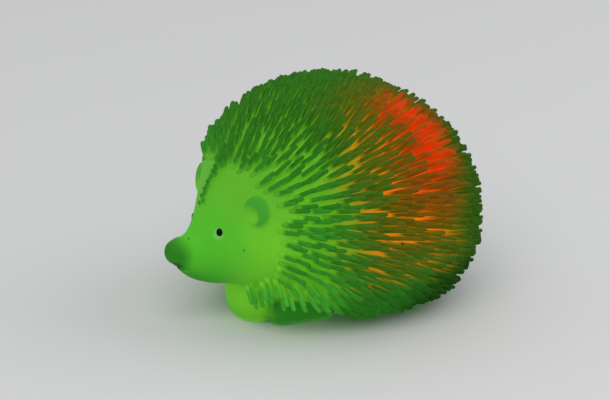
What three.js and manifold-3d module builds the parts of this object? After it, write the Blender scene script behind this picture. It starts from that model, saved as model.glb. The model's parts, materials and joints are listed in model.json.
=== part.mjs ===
// A soft hedgehog night light: a translucent rubber skin with a coat of blunt spines, and a round
// light module in its belly. Millimetres, +Z up, nose towards -X, standing on z = 0.
import * as THREE from 'three';
import { mergeVertices } from 'three/addons/utils/BufferGeometryUtils.js';
import Module from 'manifold-3d';

const wasm = await Module();
wasm.setup();

// Clearances that all the pieces share
const seatGap = 0.3;
const cutOverrun = 6;

// Skin: a loft of rounded sections from the nose tip to the tail
const noseTipX = -70;
const skinLength = 127;
const skinHeight = 87;
const skinWidth = 100;
const skinWall = 3.2;
const sectionRoundShare = 0.87;
const sectionSides = 24;
// Each row: how far along, then the top, the bottom and the width of the section there
const skinStationShares = [
  [0.012, 0.420, 0.360, 0.040],
  [0.026, 0.438, 0.342, 0.080],
  [0.048, 0.462, 0.305, 0.120],
  [0.070, 0.465, 0.272, 0.120],
  [0.099, 0.502, 0.244, 0.130],
  [0.130, 0.593, 0.225, 0.169],
  [0.161, 0.692, 0.211, 0.254],
  [0.193, 0.759, 0.206, 0.362],
  [0.224, 0.808, 0.198, 0.483],
  [0.255, 0.847, 0.187, 0.590],
  [0.286, 0.879, 0.166, 0.680],
  [0.332, 0.915, 0.128, 0.780],
  [0.394, 0.949, 0.090, 0.870],
  [0.488, 0.983, 0.062, 0.960],
  [0.612, 1.000, 0.056, 1.000],
  [0.720, 0.983, 0.056, 0.980],
  [0.814, 0.927, 0.068, 0.890],
  [0.891, 0.842, 0.102, 0.740],
  [0.953, 0.723, 0.169, 0.540],
  [0.992, 0.585, 0.285, 0.280],
  [1.000, 0.480, 0.390, 0.080],
];
const normalStep = 0.002;
const placeTolerance = 1e-8;
const cavityStartShare = 0.15;
const cavityEndShare = 0.995;

// Face
const noseRadius = 5.4;
const noseHeight = 34.4;
const mouthMiddle = { setback: 4.6, height: 27.4 };
const mouthCorner = { setback: 7.5, height: 27 };
const mouthSideShares = [0.4, 1];
const mouthGrooveRadius = 0.6;
const eyeRadius = 1.35;
const eyeSetback = 19.2;
const eyeHeight = 43.8;
const eyeProudShare = 0.35;
const earRadius = 6.2;
const earThickness = 3.8;
const earDishRadius = 4.4;
const earSetback = 29.5;
const earHeight = 55.4;
const earDishShiftShare = 0.3;
const earForwardTurn = THREE.MathUtils.degToRad(8);

// Chest: a lump that comes down to the ground between the front feet
const chest = { along: 0.309, halfLength: 10, halfWidth: 14.5, height: 22 };

// Feet: flat-soled logs, a pair in front and a smaller pair behind
const frontFoot = {
  start: { along: 0.372, y: 13.4 },
  end: { along: 0.505, y: 15.8 },
  halfWidth: 6.5,
  height: 9.7,
};
const hindFoot = {
  start: { along: 0.772, y: 23.6 },
  end: { along: 0.843, y: 21.5 },
  halfWidth: 5.2,
  height: 8,
};
const soleDepthShare = 0.16;
const toeRadius = 0.55;
const toeSpacing = 3.2;
const toeCount = 2;

// Spine coat: everything behind the face plane and above the hem
const coatFaceShare = 0.291;
const coatFaceHeight = 45;
const coatFaceSlopeShare = 0.11;
const coatHemHeight = 10;
const coatHemFrontHeight = 21;
const coatHemLevelShare = 0.709;
const coatSplitShare = 0.661;
const peakReach = 6;
const peakHalfWidth = 30;
const chestHalfWidth = 13;
const chestHeight = 27;
const chestBackShare = 0.535;
const spineLength = 13.2;
const spineFrontLength = 7;
const spinePeakLength = 5;
const spineGrowLength = 34;
const spineRootWidth = 3.2;
const spineTipWidth = 2.3;
const spineSides = 3;
const spinePitch = 8.4;
const spineRowPitch = 7.6;
const spineHemDrop = 4;
const spineSinkShare = 0.66;
const spineSweepShare = 0.38;
const spineRowOffsetShares = [0.42, 0.86];
const rowMeridian = THREE.MathUtils.degToRad(60);
const rowSamples = 240;
const rowStartShare = 0.2;

// Button cells and their bay
const cellDiameter = 11.6;
const cellThickness = 5.4;
const cellCapDiameter = 7.4;
const cellCapHeight = 0.6;
const cellEdgeRound = 0.5;
const cellCount = 3;
const springLength = 3.2;
const springRadius = 3.6;
const springTipRadius = 2.2;
const springWireRadius = 0.3;
const springTurns = 2.5;
const springSteps = 8;
const springSides = 5;
const contactThickness = 0.5;
const contactWidth = 8;
const contactHeight = 8.4;
const tabWidth = 1.8;
const tabHeight = 1.6;
const tabReach = 1.2;
const bayWall = 1.3;
const bayRoof = 1.2;

// Light module: base housing with its flange, cup and bosses
const moduleShare = 0.685;
const floorThickness = 4;
const flangeThickness = 2.6;
const flangeWidth = 4.6;
const flangeChamfer = 0.5;
const cupWall = 1.5;
const cupRingGap = 1;
const rimLip = 0.7;
const rimDepth = 2;
const rimAboveBoard = 0.5;
const clampThickness = 3;

// Battery door
const doorThickness = 1.6;
const doorInset = 0.4;
const doorLedge = 1.3;
const doorPadLength = 4.6;
const doorPadWidth = 6.4;
const doorGripWidth = 5;
const doorGripRadius = 0.5;
const doorGripPitch = 1.5;
const doorGripCount = 4;

// Screws
const baseScrew = { headRadius: 1.6, headHeight: 1.2, shaftRadius: 0.8, headInset: 0.4, tipGap: 0.5 };
const doorScrew = { headRadius: 1.6, headHeight: 0.7, shaftRadius: 0.7, shaftLength: 5.4 };
const boardScrew = { headRadius: 1.5, headHeight: 1, shaftRadius: 0.7, shaftLength: 6 };
const baseScrewCount = 4;
const bossWall = 1;
const bossGap = 0.8;
const bossExtraDepth = 0.8;

// Slide switch
const switchLength = 8.6;
const switchWidth = 3.7;
const switchHeight = 3.5;
const switchGap = 0.5;
const switchTravel = 2.6;
const switchPoleShare = 0.25;
const switchRoof = 1;
const knobLength = 1.6;
const knobWidth = 1.2;
const fingerPadLength = 2.8;
const fingerPadWidth = 2.2;
const fingerPadThickness = 1.1;
const fingerPadInset = 0.5;

// Circuit board and what stands on it
const boardThickness = 1.2;
const boardLift = 1.2;
const boardHoleGap = 0.3;
const ledRadius = 2.5;
const ledFlangeRadius = 2.9;
const ledFlangeHeight = 1;
const ledLength = 8.6;
const ledTipShares = [0.35, 0.7];
const ledRing = 5.4;
const ledLift = 3.6;
const ledTilt = THREE.MathUtils.degToRad(33);
const ledFirstAngle = Math.PI;
const leadRadius = 0.32;
const leadSpacing = 2.54;
const leadBend = 1.3;
const leadTail = 0.7;
const leadRootDepth = 0.6;
const blobRadius = 2.6;
const blobHeight = 1.2;
const blobRing = 9.6;
const resistorLength = 3.2;
const resistorWidth = 1.6;
const resistorHeight = 0.6;
const resistorRing = 8.4;
const resistorAngles = [120, 240, 40].map(THREE.MathUtils.degToRad);

// Light dome
const domeWall = 1;
const domeNeckHeight = 5.5;

// Wires
const wireRadius = 0.55;
const wireSides = 8;
const wireSteps = 4;
const wireLean = 0.6;
const wireShares = [0, 0.33, 0.67, 1];

// How finely curves are faceted
const roundSides = 28;
const smallSides = 10;
const tinySides = 8;
const pinSides = 6;
const leadSides = 4;
const cellSides = 18;
const ballSides = 14;
const ballRings = 8;
const capRings = 3;
const domeSteps = 5;
const mouthSteps = 12;

// Places that follow from the sizes
const tailX = noseTipX + skinLength;
const alongSkin = (share) => noseTipX + skinLength * share;
const coatFaceX = alongSkin(coatFaceShare);
const coatHemLevelX = alongSkin(coatHemLevelShare);
const chestBackX = alongSkin(chestBackShare);
const coatSplitX = alongSkin(coatSplitShare);
const moduleX = alongSkin(moduleShare);
const bayHalfWidth = cellDiameter / 2 + seatGap;
const bayGaps = (cellCount + 3) * seatGap;
const bayLength = springLength + cellCount * cellThickness + contactThickness + bayGaps;
const bayHalfLength = bayLength / 2;
const bayFloor = doorInset + doorThickness + seatGap;
const cellCentreHeight = bayFloor + cellDiameter / 2;
const bayTop = bayFloor + cellDiameter + seatGap;
const troughHalfLength = bayHalfLength + bayWall;
const troughHalfWidth = bayHalfWidth + bayWall;
const troughTop = bayTop + bayRoof;
const neckRadius = Math.hypot(troughHalfLength, troughHalfWidth) + cupRingGap + cupWall;
const cupRadius = neckRadius - cupWall;
const flangeRadius = neckRadius + flangeWidth;
const baseScrewRing = neckRadius + flangeWidth / 2;
const lipBottom = flangeThickness + seatGap;
const lipTop = lipBottom + skinWall;
const clampBottom = lipTop + seatGap;
const clampTop = clampBottom + clampThickness;
const pocketRadius = flangeRadius + seatGap;
const collarRadius = pocketRadius + skinWall;
const boardBottom = troughTop + boardLift;
const boardTop = boardBottom + boardThickness;
const boardRadius = cupRadius - seatGap;
const rimFloor = boardTop + rimAboveBoard;
const cupTop = rimFloor + rimDepth;
const domeRadius = neckRadius - rimLip - seatGap;
const domeBottom = rimFloor + seatGap;
const domeSpringHeight = domeBottom + domeNeckHeight;
const bossRadius = boardScrew.shaftRadius + seatGap + bossWall;
const bossSideX = switchLength / 2 + bossGap + bossRadius;
const bossSideY = troughHalfWidth + bossGap + bossRadius;
const bossPlaces = [[-bossSideX, -bossSideY], [bossSideX, -bossSideY], [0, bossSideY]];
const switchY = -(troughHalfWidth + switchGap + switchWidth / 2);
const switchBottom = floorThickness + seatGap;
const recessHalfWidth = bayHalfWidth + doorLedge;
const recessHalfLength = bayHalfLength + doorLedge;
const doorScrewX = recessHalfLength + doorPadLength / 2;
const doorEnds = [-1, 1];
const doorTop = doorInset + doorThickness;

// Closed meshes in and out of the solid kernel
function solidFrom(geometry) {
  const bare = geometry.clone();
  bare.deleteAttribute('normal');
  bare.deleteAttribute('uv');
  const merged = mergeVertices(bare);
  const points = merged.attributes.position.array;
  const corners = [];
  for (let i = 0; i < merged.index.count; i += 3) {
    const [a, b, c] = [0, 1, 2].map((k) => merged.index.getX(i + k));
    if (a !== b && b !== c && c !== a) corners.push([a, b, c]);
  }
  const vertex = (i) => new THREE.Vector3().fromArray(points, 3 * i);
  const signed = ([a, b, c]) => vertex(a).dot(vertex(b).cross(vertex(c)));
  const volume = corners.reduce((sum, triangle) => sum + signed(triangle), 0);
  const facingOut = corners.map(([a, b, c]) => (volume > 0 ? [a, b, c] : [a, c, b]));
  const triVerts = Uint32Array.from(facingOut.flat());
  return new wasm.Manifold(new wasm.Mesh({ numProp: 3, vertProperties: points, triVerts }));
}

function geometryFrom(solid) {
  const { vertProperties, triVerts } = solid.getMesh();
  const geometry = new THREE.BufferGeometry();
  geometry.setAttribute('position', new THREE.BufferAttribute(vertProperties, 3));
  geometry.setIndex(new THREE.BufferAttribute(triVerts, 1));
  geometry.computeVertexNormals();
  return geometry;
}

function joined(solids) {
  return solids.reduce((whole, solid) => whole.add(solid));
}

function without(solid, cutters) {
  return cutters.reduce((rest, cutter) => rest.subtract(cutter), solid);
}

function meshOf(name, solid, look) {
  const mesh = new THREE.Mesh(geometryFrom(solid), new THREE.MeshStandardMaterial(look));
  mesh.name = name;
  return mesh;
}

// Basic solids between named limits
function cylinder(radius, bottom, top, x, y, sides) {
  const shape = new THREE.CylinderGeometry(radius, radius, top - bottom, sides);
  shape.rotateX(Math.PI / 2);
  shape.translate(x, y, (bottom + top) / 2);
  return solidFrom(shape);
}

function box(low, high) {
  const shape = new THREE.BoxGeometry(high.x - low.x, high.y - low.y, high.z - low.z);
  shape.translate((low.x + high.x) / 2, (low.y + high.y) / 2, (low.z + high.z) / 2);
  return solidFrom(shape);
}

function ball(radius) {
  return new THREE.SphereGeometry(radius, ballSides, ballRings);
}

function corner(x, y, z) {
  return new THREE.Vector3(x, y, z);
}

// The profile is a list of [radius, height]; the axis is Z until it is turned
function revolved(profile, sides) {
  const points = profile.map(([radius, height]) => new THREE.Vector2(radius, height));
  const shape = new THREE.LatheGeometry(points, sides);
  shape.rotateX(Math.PI / 2);
  return shape;
}

function aimed(shape, origin, direction) {
  const turn = new THREE.Quaternion().setFromUnitVectors(corner(0, 0, 1), direction);
  shape.applyQuaternion(turn);
  shape.translate(origin.x, origin.y, origin.z);
  return shape;
}

function rod(from, to, radius, sides) {
  const along = to.clone().sub(from);
  const shape = new THREE.CylinderGeometry(radius, radius, along.length(), sides);
  shape.rotateX(Math.PI / 2);
  const middle = from.clone().add(to).multiplyScalar(0.5);
  return solidFrom(aimed(shape, middle, along.normalize()));
}

function circleHole(x, y, radius, sides) {
  const hole = new THREE.Path();
  for (let k = 0; k < sides; k += 1) {
    const angle = (2 * Math.PI * k) / sides;
    const point = [x + radius * Math.cos(angle), y + radius * Math.sin(angle)];
    if (k === 0) hole.moveTo(...point);
    else hole.lineTo(...point);
  }
  return hole;
}

function extruded(outline, holes, bottom, top) {
  const shape = new THREE.Shape(outline.getPoints());
  shape.holes.push(...holes);
  const solid = new THREE.ExtrudeGeometry(shape, { depth: top - bottom, bevelEnabled: false });
  solid.translate(0, 0, bottom);
  return solidFrom(solid);
}

// The skin's surface: place is 0 at the nose and 1 at the tail, angle runs round from the top
const profilePoints = skinStationShares.map(([along, top, bottom]) => corner(
  noseTipX + along * skinLength,
  top * skinHeight,
  bottom * skinHeight,
));
const widthPoints = skinStationShares.map((row, k) => corner(k, (row[3] * skinWidth) / 2, 0));
const profileCurve = new THREE.CatmullRomCurve3(profilePoints, false, 'catmullrom');
const widthCurve = new THREE.CatmullRomCurve3(widthPoints, false, 'catmullrom');
const lastStation = skinStationShares.length - 1;

function rounded(value) {
  return Math.sign(value) * Math.abs(value) ** sectionRoundShare;
}

function sectionPoint(section, angle) {
  const middle = (section.top + section.bottom) / 2;
  const rise = (section.top - section.bottom) / 2;
  return corner(
    section.x,
    section.halfWidth * rounded(Math.sin(angle)),
    middle + rise * rounded(Math.cos(angle)),
  );
}

function sectionAt(place) {
  const { x, y: top, z: bottom } = profileCurve.getPoint(place);
  return { x, top, bottom, halfWidth: widthCurve.getPoint(place).y };
}

function skinPoint(place, angle) {
  return sectionPoint(sectionAt(place), angle);
}

function skinNormal(place, angle) {
  const ahead = skinPoint(Math.min(place + normalStep, 1), angle);
  const along = ahead.sub(skinPoint(place - normalStep, angle));
  const around = skinPoint(place, angle + normalStep).sub(skinPoint(place, angle - normalStep));
  return along.cross(around).normalize();
}

function placeAtX(x) {
  let low = 0;
  let high = 1;
  while (high - low > placeTolerance) {
    const middle = (low + high) / 2;
    if (profileCurve.getPoint(middle).x < x) low = middle;
    else high = middle;
  }
  return low;
}

// Finds the angle round the section at which the skin has the given height
function angleAtHeight(place, height) {
  const { top, bottom } = sectionAt(place);
  const level = (2 * height - top - bottom) / (top - bottom);
  const cosine = Math.sign(level) * Math.abs(level) ** (1 / sectionRoundShare);
  return Math.acos(THREE.MathUtils.clamp(cosine, -1, 1));
}

// Joins closed rings of points into one solid with flat ends
function loft(rings) {
  const sides = rings[0].length;
  const points = rings.flat();
  const triangles = [];
  for (let ring = 0; ring < rings.length - 1; ring += 1) {
    for (let k = 0; k < sides; k += 1) {
      const next = (k + 1) % sides;
      const [a, b] = [ring * sides + k, ring * sides + next];
      triangles.push([a, b, b + sides], [a, b + sides, a + sides]);
    }
  }
  const last = (rings.length - 1) * sides;
  for (let k = 1; k < sides - 1; k += 1) {
    triangles.push([0, k + 1, k], [last, last + k, last + k + 1]);
  }
  const geometry = new THREE.BufferGeometry().setFromPoints(points);
  geometry.setIndex(triangles.flat());
  return solidFrom(geometry);
}

function ringAngles() {
  return Array.from({ length: sectionSides }, (_, k) => (2 * Math.PI * k) / sectionSides);
}

// Outer surface, and a cavity one wall thickness inside it from the cheeks back
function makeShell() {
  const stations = skinStationShares.map(([along], k) => ({ along, place: k / lastStation }));
  const outer = stations.map(({ place }) => ringAngles().map((angle) => skinPoint(place, angle)));
  const hollow = stations.filter(({ along }) => along > cavityStartShare && along < cavityEndShare);
  const cavity = hollow.map(({ place }) => ringAngles().map((angle) => (
    skinPoint(place, angle).addScaledVector(skinNormal(place, angle), -skinWall)
  )));
  return { outer: loft(outer), cavity: loft(cavity) };
}

// The coat's limits, moved out by a margin: behind the face plane, and a peak down the forehead
function coatFaceAt(height) {
  return coatFaceX - coatFaceSlopeShare * (height - coatFaceHeight);
}

// The hem rises towards the face, over the front feet
function coatHemAt(x) {
  const share = (coatHemLevelX - x) / (coatHemLevelX - coatFaceX);
  return THREE.MathUtils.lerp(coatHemHeight, coatHemFrontHeight, THREE.MathUtils.clamp(share, 0, 1));
}

function coatBlock(margin) {
  const roof = skinHeight + cutOverrun;
  const back = tailX + cutOverrun;
  const hemStart = coatFaceAt(coatHemFrontHeight);
  const outline = new THREE.Shape([
    new THREE.Vector2(hemStart - margin, coatHemFrontHeight - margin),
    new THREE.Vector2(coatHemLevelX, coatHemHeight - margin),
    new THREE.Vector2(back, coatHemHeight - margin),
    new THREE.Vector2(back, roof),
    new THREE.Vector2(coatFaceAt(roof) - margin, roof),
  ]);
  const width = skinWidth + 2 * cutOverrun;
  const block = new THREE.ExtrudeGeometry(outline, { depth: width, bevelEnabled: false });
  block.rotateX(Math.PI / 2);
  block.translate(0, width / 2, 0);
  const peakBase = coatFaceAt(skinHeight);
  const peak = new THREE.Shape([
    new THREE.Vector2(peakBase - peakReach - margin, 0),
    new THREE.Vector2(peakBase + cutOverrun, -peakHalfWidth - margin),
    new THREE.Vector2(peakBase + cutOverrun, peakHalfWidth + margin),
  ]);
  const wedge = extruded(peak, [], eyeHeight - margin, roof);
  const chest = box(
    corner(noseTipX, margin - chestHalfWidth, -cutOverrun),
    corner(chestBackX - margin, chestHalfWidth - margin, chestHeight - margin),
  );
  return solidFrom(block).add(wedge).subtract(chest);
}

function insideCoat(point) {
  const margin = spineRootWidth / 2 + seatGap;
  const sunk = skinWall * spineSinkShare;
  const behindFace = point.x > coatFaceAt(point.z) + margin + sunk;
  const fromPeakTip = point.x - (coatFaceAt(skinHeight) - peakReach) - margin;
  const peakShare = fromPeakTip / (peakReach + cutOverrun);
  const inPeak = peakShare > 0 && Math.abs(point.y) < peakHalfWidth * peakShare - margin / 2;
  const beside = Math.abs(point.y) > chestHalfWidth + margin;
  const clearOfChest = beside || point.z > chestHeight + margin || point.x > chestBackX + margin;
  if (!clearOfChest) return false;
  return point.z > coatHemAt(point.x) + margin && (behindFace || (inPeak && point.z > eyeHeight));
}

function spineLengthAt(point) {
  const behindFace = point.x - coatFaceAt(point.z);
  if (behindFace < 0) return spinePeakLength;
  const grown = Math.min(behindFace / spineGrowLength, 1);
  return spineFrontLength + (spineLength - spineFrontLength) * grown;
}

// A spine leans from the skin's normal towards the tail, and the lowest ones stay off the ground
function spineDirection(point, normal, length) {
  const towardsTail = corner(1, 0, 0).addScaledVector(normal, -normal.x).normalize();
  const lean = spineSweepShare * Math.acos(THREE.MathUtils.clamp(normal.x, -1, 1));
  const direction = normal.clone().multiplyScalar(Math.cos(lean));
  direction.addScaledVector(towardsTail, Math.sin(lean)).normalize();
  const steepest = (coatHemAt(point.x) - spineHemDrop - point.z) / length;
  if (direction.z < steepest) {
    const level = Math.sqrt((1 - steepest ** 2) / (direction.x ** 2 + direction.y ** 2));
    direction.set(direction.x * level, direction.y * level, steepest);
  }
  return direction;
}

function clearOfCuts(point) {
  const reach = spineRootWidth / 2 + seatGap;
  const y = Math.max(point.y, reach + seatGap);
  const fromSplit = point.x - coatSplitX;
  return Math.abs(fromSplit) > reach && y <= point.y;
}

// Root places in rows round the body, at an even pitch, for the half with y above zero
function spineRoots() {
  const rows = [];
  const half = skinStationShares.length * rowSamples;
  let walked = spineRowPitch;
  let last = skinPoint(rowStartShare, rowMeridian);
  for (let k = Math.ceil(rowStartShare * half); k < half; k += 1) {
    const here = skinPoint(k / half, rowMeridian);
    walked += here.distanceTo(last);
    last = here;
    if (walked >= spineRowPitch) {
      rows.push(k / half);
      walked = 0;
    }
  }
  return rows.flatMap((place, row) => {
    const roots = [];
    const offset = spineRowOffsetShares[row % spineRowOffsetShares.length] * spinePitch;
    let arc = spinePitch - offset;
    let before = skinPoint(place, 0);
    for (let k = 1; k < rowSamples; k += 1) {
      const angle = (Math.PI * k) / rowSamples;
      const point = skinPoint(place, angle);
      arc += point.distanceTo(before);
      before = point;
      if (arc < spinePitch) continue;
      arc -= spinePitch;
      if (insideCoat(point) && clearOfCuts(point)) {
        roots.push({ point, normal: skinNormal(place, angle) });
      }
    }
    return roots;
  });
}

function spineSolid({ point, normal }) {
  const length = spineLengthAt(point);
  const direction = spineDirection(point, normal, length);
  const turn = new THREE.Quaternion().setFromUnitVectors(corner(0, 0, 1), direction);
  const ringAt = (width, distance) => Array.from({ length: spineSides }, (_, k) => {
    const angle = (2 * Math.PI * k) / spineSides;
    const offset = corner(Math.cos(angle), Math.sin(angle), 0).multiplyScalar(width / 2);
    return offset.applyQuaternion(turn).add(point).addScaledVector(direction, distance);
  });
  const sink = skinWall * spineSinkShare;
  return loft([ringAt(spineRootWidth, -sink), ringAt(spineTipWidth, length)]);
}

function makeCoat(shell) {
  const coat = shell.intersect(coatBlock(-seatGap / 2));
  const roots = spineRoots();
  const spread = skinWidth + cutOverrun;
  const names = { 1: 'left', '-1': 'right' };
  const slices = [];
  for (const side of [1, -1]) {
    for (const [end, sign] of [['front', -1], ['rear', 1]]) {
      const nearX = coatSplitX + (sign * seatGap) / 2;
      const farX = coatSplitX + sign * (skinLength + cutOverrun);
      const nearY = (-side * seatGap) / 2;
      const farY = -side * spread;
      const low = corner(Math.min(nearX, farX), Math.min(nearY, farY), -cutOverrun);
      const high = corner(Math.max(nearX, farX), Math.max(nearY, farY), skinHeight + cutOverrun);
      const slice = coat.intersect(box(low, high));
      const mirrored = roots.map(({ point, normal }) => ({
        point: corner(point.x, -side * point.y, point.z),
        normal: corner(normal.x, -side * normal.y, normal.z),
      }));
      const own = mirrored.filter(({ point }) => sign * (point.x - coatSplitX) > 0);
      slices.push({
        name: `spine_coat_${end}_${names[side]}`,
        solid: joined([slice, ...own.map(spineSolid)]),
      });
    }
  }
  return slices;
}

// A log with round ends and a flat sole, mirrored by side
function makeFoot({ start, end, halfWidth, height }, side) {
  const sole = height * soleDepthShare;
  const from = corner(alongSkin(start.along), side * start.y, 0);
  const to = corner(alongSkin(end.along), side * end.y, 0);
  const length = from.distanceTo(to);
  const shape = new THREE.CapsuleGeometry(halfWidth, length, capRings, smallSides);
  shape.rotateZ(Math.PI / 2);
  shape.scale(1, 1, (height + sole) / (2 * halfWidth));
  shape.rotateZ(Math.atan2(to.y - from.y, to.x - from.x));
  shape.translate((from.x + to.x) / 2, (from.y + to.y) / 2, (height - sole) / 2);
  return solidFrom(shape);
}

function makeChest() {
  const { along, halfLength, halfWidth, height } = chest;
  const sole = height * soleDepthShare;
  const shape = ball(1);
  shape.scale(halfLength, halfWidth, (height + sole) / 2);
  shape.translate(alongSkin(along), 0, (height - sole) / 2);
  return solidFrom(shape);
}

function makeToeGrooves({ start, end, halfWidth, height }, side) {
  const from = corner(alongSkin(start.along), side * start.y, 0);
  const direction = corner(alongSkin(end.along), side * end.y, 0).sub(from).normalize();
  const across = corner(-direction.y, direction.x, 0);
  const tip = from.addScaledVector(direction, -halfWidth);
  return Array.from({ length: toeCount }, (_, k) => {
    const offset = (k - (toeCount - 1) / 2) * toeSpacing;
    const groove = tip.clone().addScaledVector(across, offset);
    const top = groove.clone().addScaledVector(direction, halfWidth / 2);
    groove.z = -cutOverrun;
    top.z = height + toeRadius;
    return rod(groove, top, toeRadius, tinySides);
  });
}

function surfaceFrame(setback, height, side) {
  const place = placeAtX(noseTipX + setback);
  const angle = angleAtHeight(place, height);
  const point = skinPoint(place, angle);
  const normal = skinNormal(place, angle);
  point.y *= side;
  normal.y *= side;
  return { point, normal };
}

// A round ear with a shallow dish that opens forwards
function makeEar(side) {
  const { point, normal } = surfaceFrame(earSetback, earHeight, side);
  const facing = normal.clone().applyAxisAngle(corner(0, 0, 1), side * earForwardTurn);
  const ear = ball(earRadius);
  ear.scale(1, 1, earThickness / (2 * earRadius));
  const lobe = solidFrom(aimed(ear, point, facing));
  const dish = ball(earDishRadius);
  dish.scale(1, 1, earThickness / (2 * earDishRadius));
  const dishCentre = point.clone().addScaledVector(facing, earThickness / 2);
  dishCentre.addScaledVector(corner(-1, 0, -1).normalize(), earRadius * earDishShiftShare);
  return { lobe, dish: solidFrom(aimed(dish, dishCentre, facing)) };
}

function eyeSolid(side, radius) {
  const { point, normal } = surfaceFrame(eyeSetback, eyeHeight, side);
  const centre = point.addScaledVector(normal, -eyeRadius * (1 - eyeProudShare));
  return solidFrom(ball(radius).translate(centre.x, centre.y, centre.z));
}

// A groove that runs back from under the nose, round both sides of the muzzle
function makeMouth() {
  const reach = mouthCorner.setback - mouthMiddle.setback;
  const rise = mouthCorner.height - mouthMiddle.height;
  const halfOf = (side) => mouthSideShares.map((share) => surfaceFrame(
    mouthMiddle.setback + reach * share,
    mouthMiddle.height + rise * share ** 2,
    side,
  ).point);
  const middle = surfaceFrame(mouthMiddle.setback, mouthMiddle.height, 1).point.setY(0);
  return tube([...halfOf(1).reverse(), middle, ...halfOf(-1)], mouthGrooveRadius, tinySides, mouthSteps);
}

// The skin's belly: a collar down to the module's flange, with a lip that the clamp ring holds
function makeBodySkin(shell, cavity) {
  const ears = [1, -1].map(makeEar);
  const nose = ball(noseRadius);
  nose.translate(noseTipX + noseRadius, 0, noseHeight);
  const feet = [frontFoot, hindFoot].flatMap((foot) => [1, -1].map((side) => makeFoot(foot, side)));
  const collarTop = clampTop + skinWall;
  const collar = cylinder(collarRadius, lipBottom, collarTop, moduleX, 0, roundSides);
  const lumps = joined([...ears.map(({ lobe }) => lobe), ...feet, makeChest()]).subtract(cavity);
  const skin = joined([shell, lumps, collar]).subtract(coatBlock(seatGap / 2));
  const belowGround = box(
    corner(noseTipX - cutOverrun, -skinWidth, -skinHeight),
    corner(tailX + cutOverrun, skinWidth, 0),
  );
  const pocket = cylinder(pocketRadius, lipTop, skinHeight / 2, moduleX, 0, roundSides);
  const flangeRoom = cylinder(pocketRadius, -cutOverrun, lipBottom, moduleX, 0, roundSides);
  const opening = cylinder(neckRadius + seatGap, 0, skinHeight / 2, moduleX, 0, roundSides);
  const screwHoles = baseScrewPlaces().map(([x, y]) => cylinder(
    baseScrew.shaftRadius + seatGap,
    0,
    lipTop + seatGap,
    moduleX + x,
    y,
    tinySides,
  ));
  return without(skin.add(solidFrom(nose)), [
    belowGround,
    pocket,
    flangeRoom,
    opening,
    ...screwHoles,
    ...ears.map(({ dish }) => dish),
    ...[1, -1].map((side) => eyeSolid(side, eyeRadius + seatGap)),
    ...[1, -1].flatMap((side) => makeToeGrooves(frontFoot, side)),
  ]);
}

// Round the flange, between the door's long sides and the switch
function baseScrewPlaces() {
  return Array.from({ length: baseScrewCount }, (_, k) => {
    const angle = Math.PI / baseScrewCount + (2 * Math.PI * k) / baseScrewCount;
    return [baseScrewRing * Math.cos(angle), baseScrewRing * Math.sin(angle)];
  });
}

// Base housing: flange, floor, cup wall, battery trough and bosses, with its cut-outs
function makeBaseHousing() {
  const flange = solidFrom(revolved([
    [0, 0],
    [flangeRadius - flangeChamfer, 0],
    [flangeRadius, flangeChamfer],
    [flangeRadius, flangeThickness],
    [neckRadius, flangeThickness],
    [neckRadius, cupTop],
    [neckRadius - rimLip, cupTop],
    [neckRadius - rimLip, rimFloor],
    [cupRadius, rimFloor],
    [cupRadius, floorThickness],
    [0, floorThickness],
  ], roundSides));
  const trough = box(
    corner(-troughHalfLength, -troughHalfWidth, flangeThickness),
    corner(troughHalfLength, troughHalfWidth, troughTop),
  );
  const bossTop = boardBottom - seatGap;
  const bosses = bossPlaces.map(([x, y]) => (
    cylinder(bossRadius, flangeThickness, bossTop, x, y, smallSides)
  ));
  const doorBossTop = doorTop + doorScrew.shaftLength + bossExtraDepth + bossWall;
  const doorBosses = doorEnds.map((end) => (
    cylinder(bossRadius, flangeThickness, doorBossTop, end * doorScrewX, 0, smallSides)
  ));
  const cupSpace = cylinder(neckRadius, flangeThickness, cupTop, 0, 0, roundSides);
  const whole = joined([flange, trough, ...bosses, joined(doorBosses).intersect(cupSpace)]);
  const bay = box(
    corner(-bayHalfLength, -bayHalfWidth, -cutOverrun),
    corner(bayHalfLength, bayHalfWidth, bayTop),
  );
  const recess = box(
    corner(-recessHalfLength - seatGap, -recessHalfWidth - seatGap, -cutOverrun),
    corner(recessHalfLength + seatGap, recessHalfWidth + seatGap, bayFloor),
  );
  const padReach = recessHalfLength + doorPadLength + seatGap;
  const padRecess = box(
    corner(-padReach, -doorPadWidth / 2 - seatGap, -cutOverrun),
    corner(padReach, doorPadWidth / 2 + seatGap, bayFloor),
  );
  const pilotDepth = doorTop + doorScrew.shaftLength + bossExtraDepth;
  const pilotRadius = doorScrew.shaftRadius + seatGap;
  const doorPilots = doorEnds.map((end) => (
    cylinder(pilotRadius, 0, pilotDepth, end * doorScrewX, 0, smallSides)
  ));
  const pilots = bossPlaces.map(([x, y]) => cylinder(
    boardScrew.shaftRadius + seatGap,
    boardTop - boardScrew.shaftLength - bossExtraDepth,
    boardTop,
    x,
    y,
    smallSides,
  ));
  return without(whole, [
    bay,
    recess,
    padRecess,
    ...doorPilots,
    ...pilots,
    ...baseScrewCuts(),
    ...switchCuts(),
    contactSlit(-1),
    contactSlit(1),
  ]);
}

function baseScrewCuts() {
  const { headRadius, headHeight, shaftRadius, headInset } = baseScrew;
  const headTop = headInset + headHeight + seatGap;
  return baseScrewPlaces().flatMap(([x, y]) => [
    cylinder(headRadius + seatGap, -cutOverrun, headTop, x, y, smallSides),
    cylinder(shaftRadius + seatGap, 0, flangeThickness + seatGap, x, y, tinySides),
  ]);
}

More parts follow.
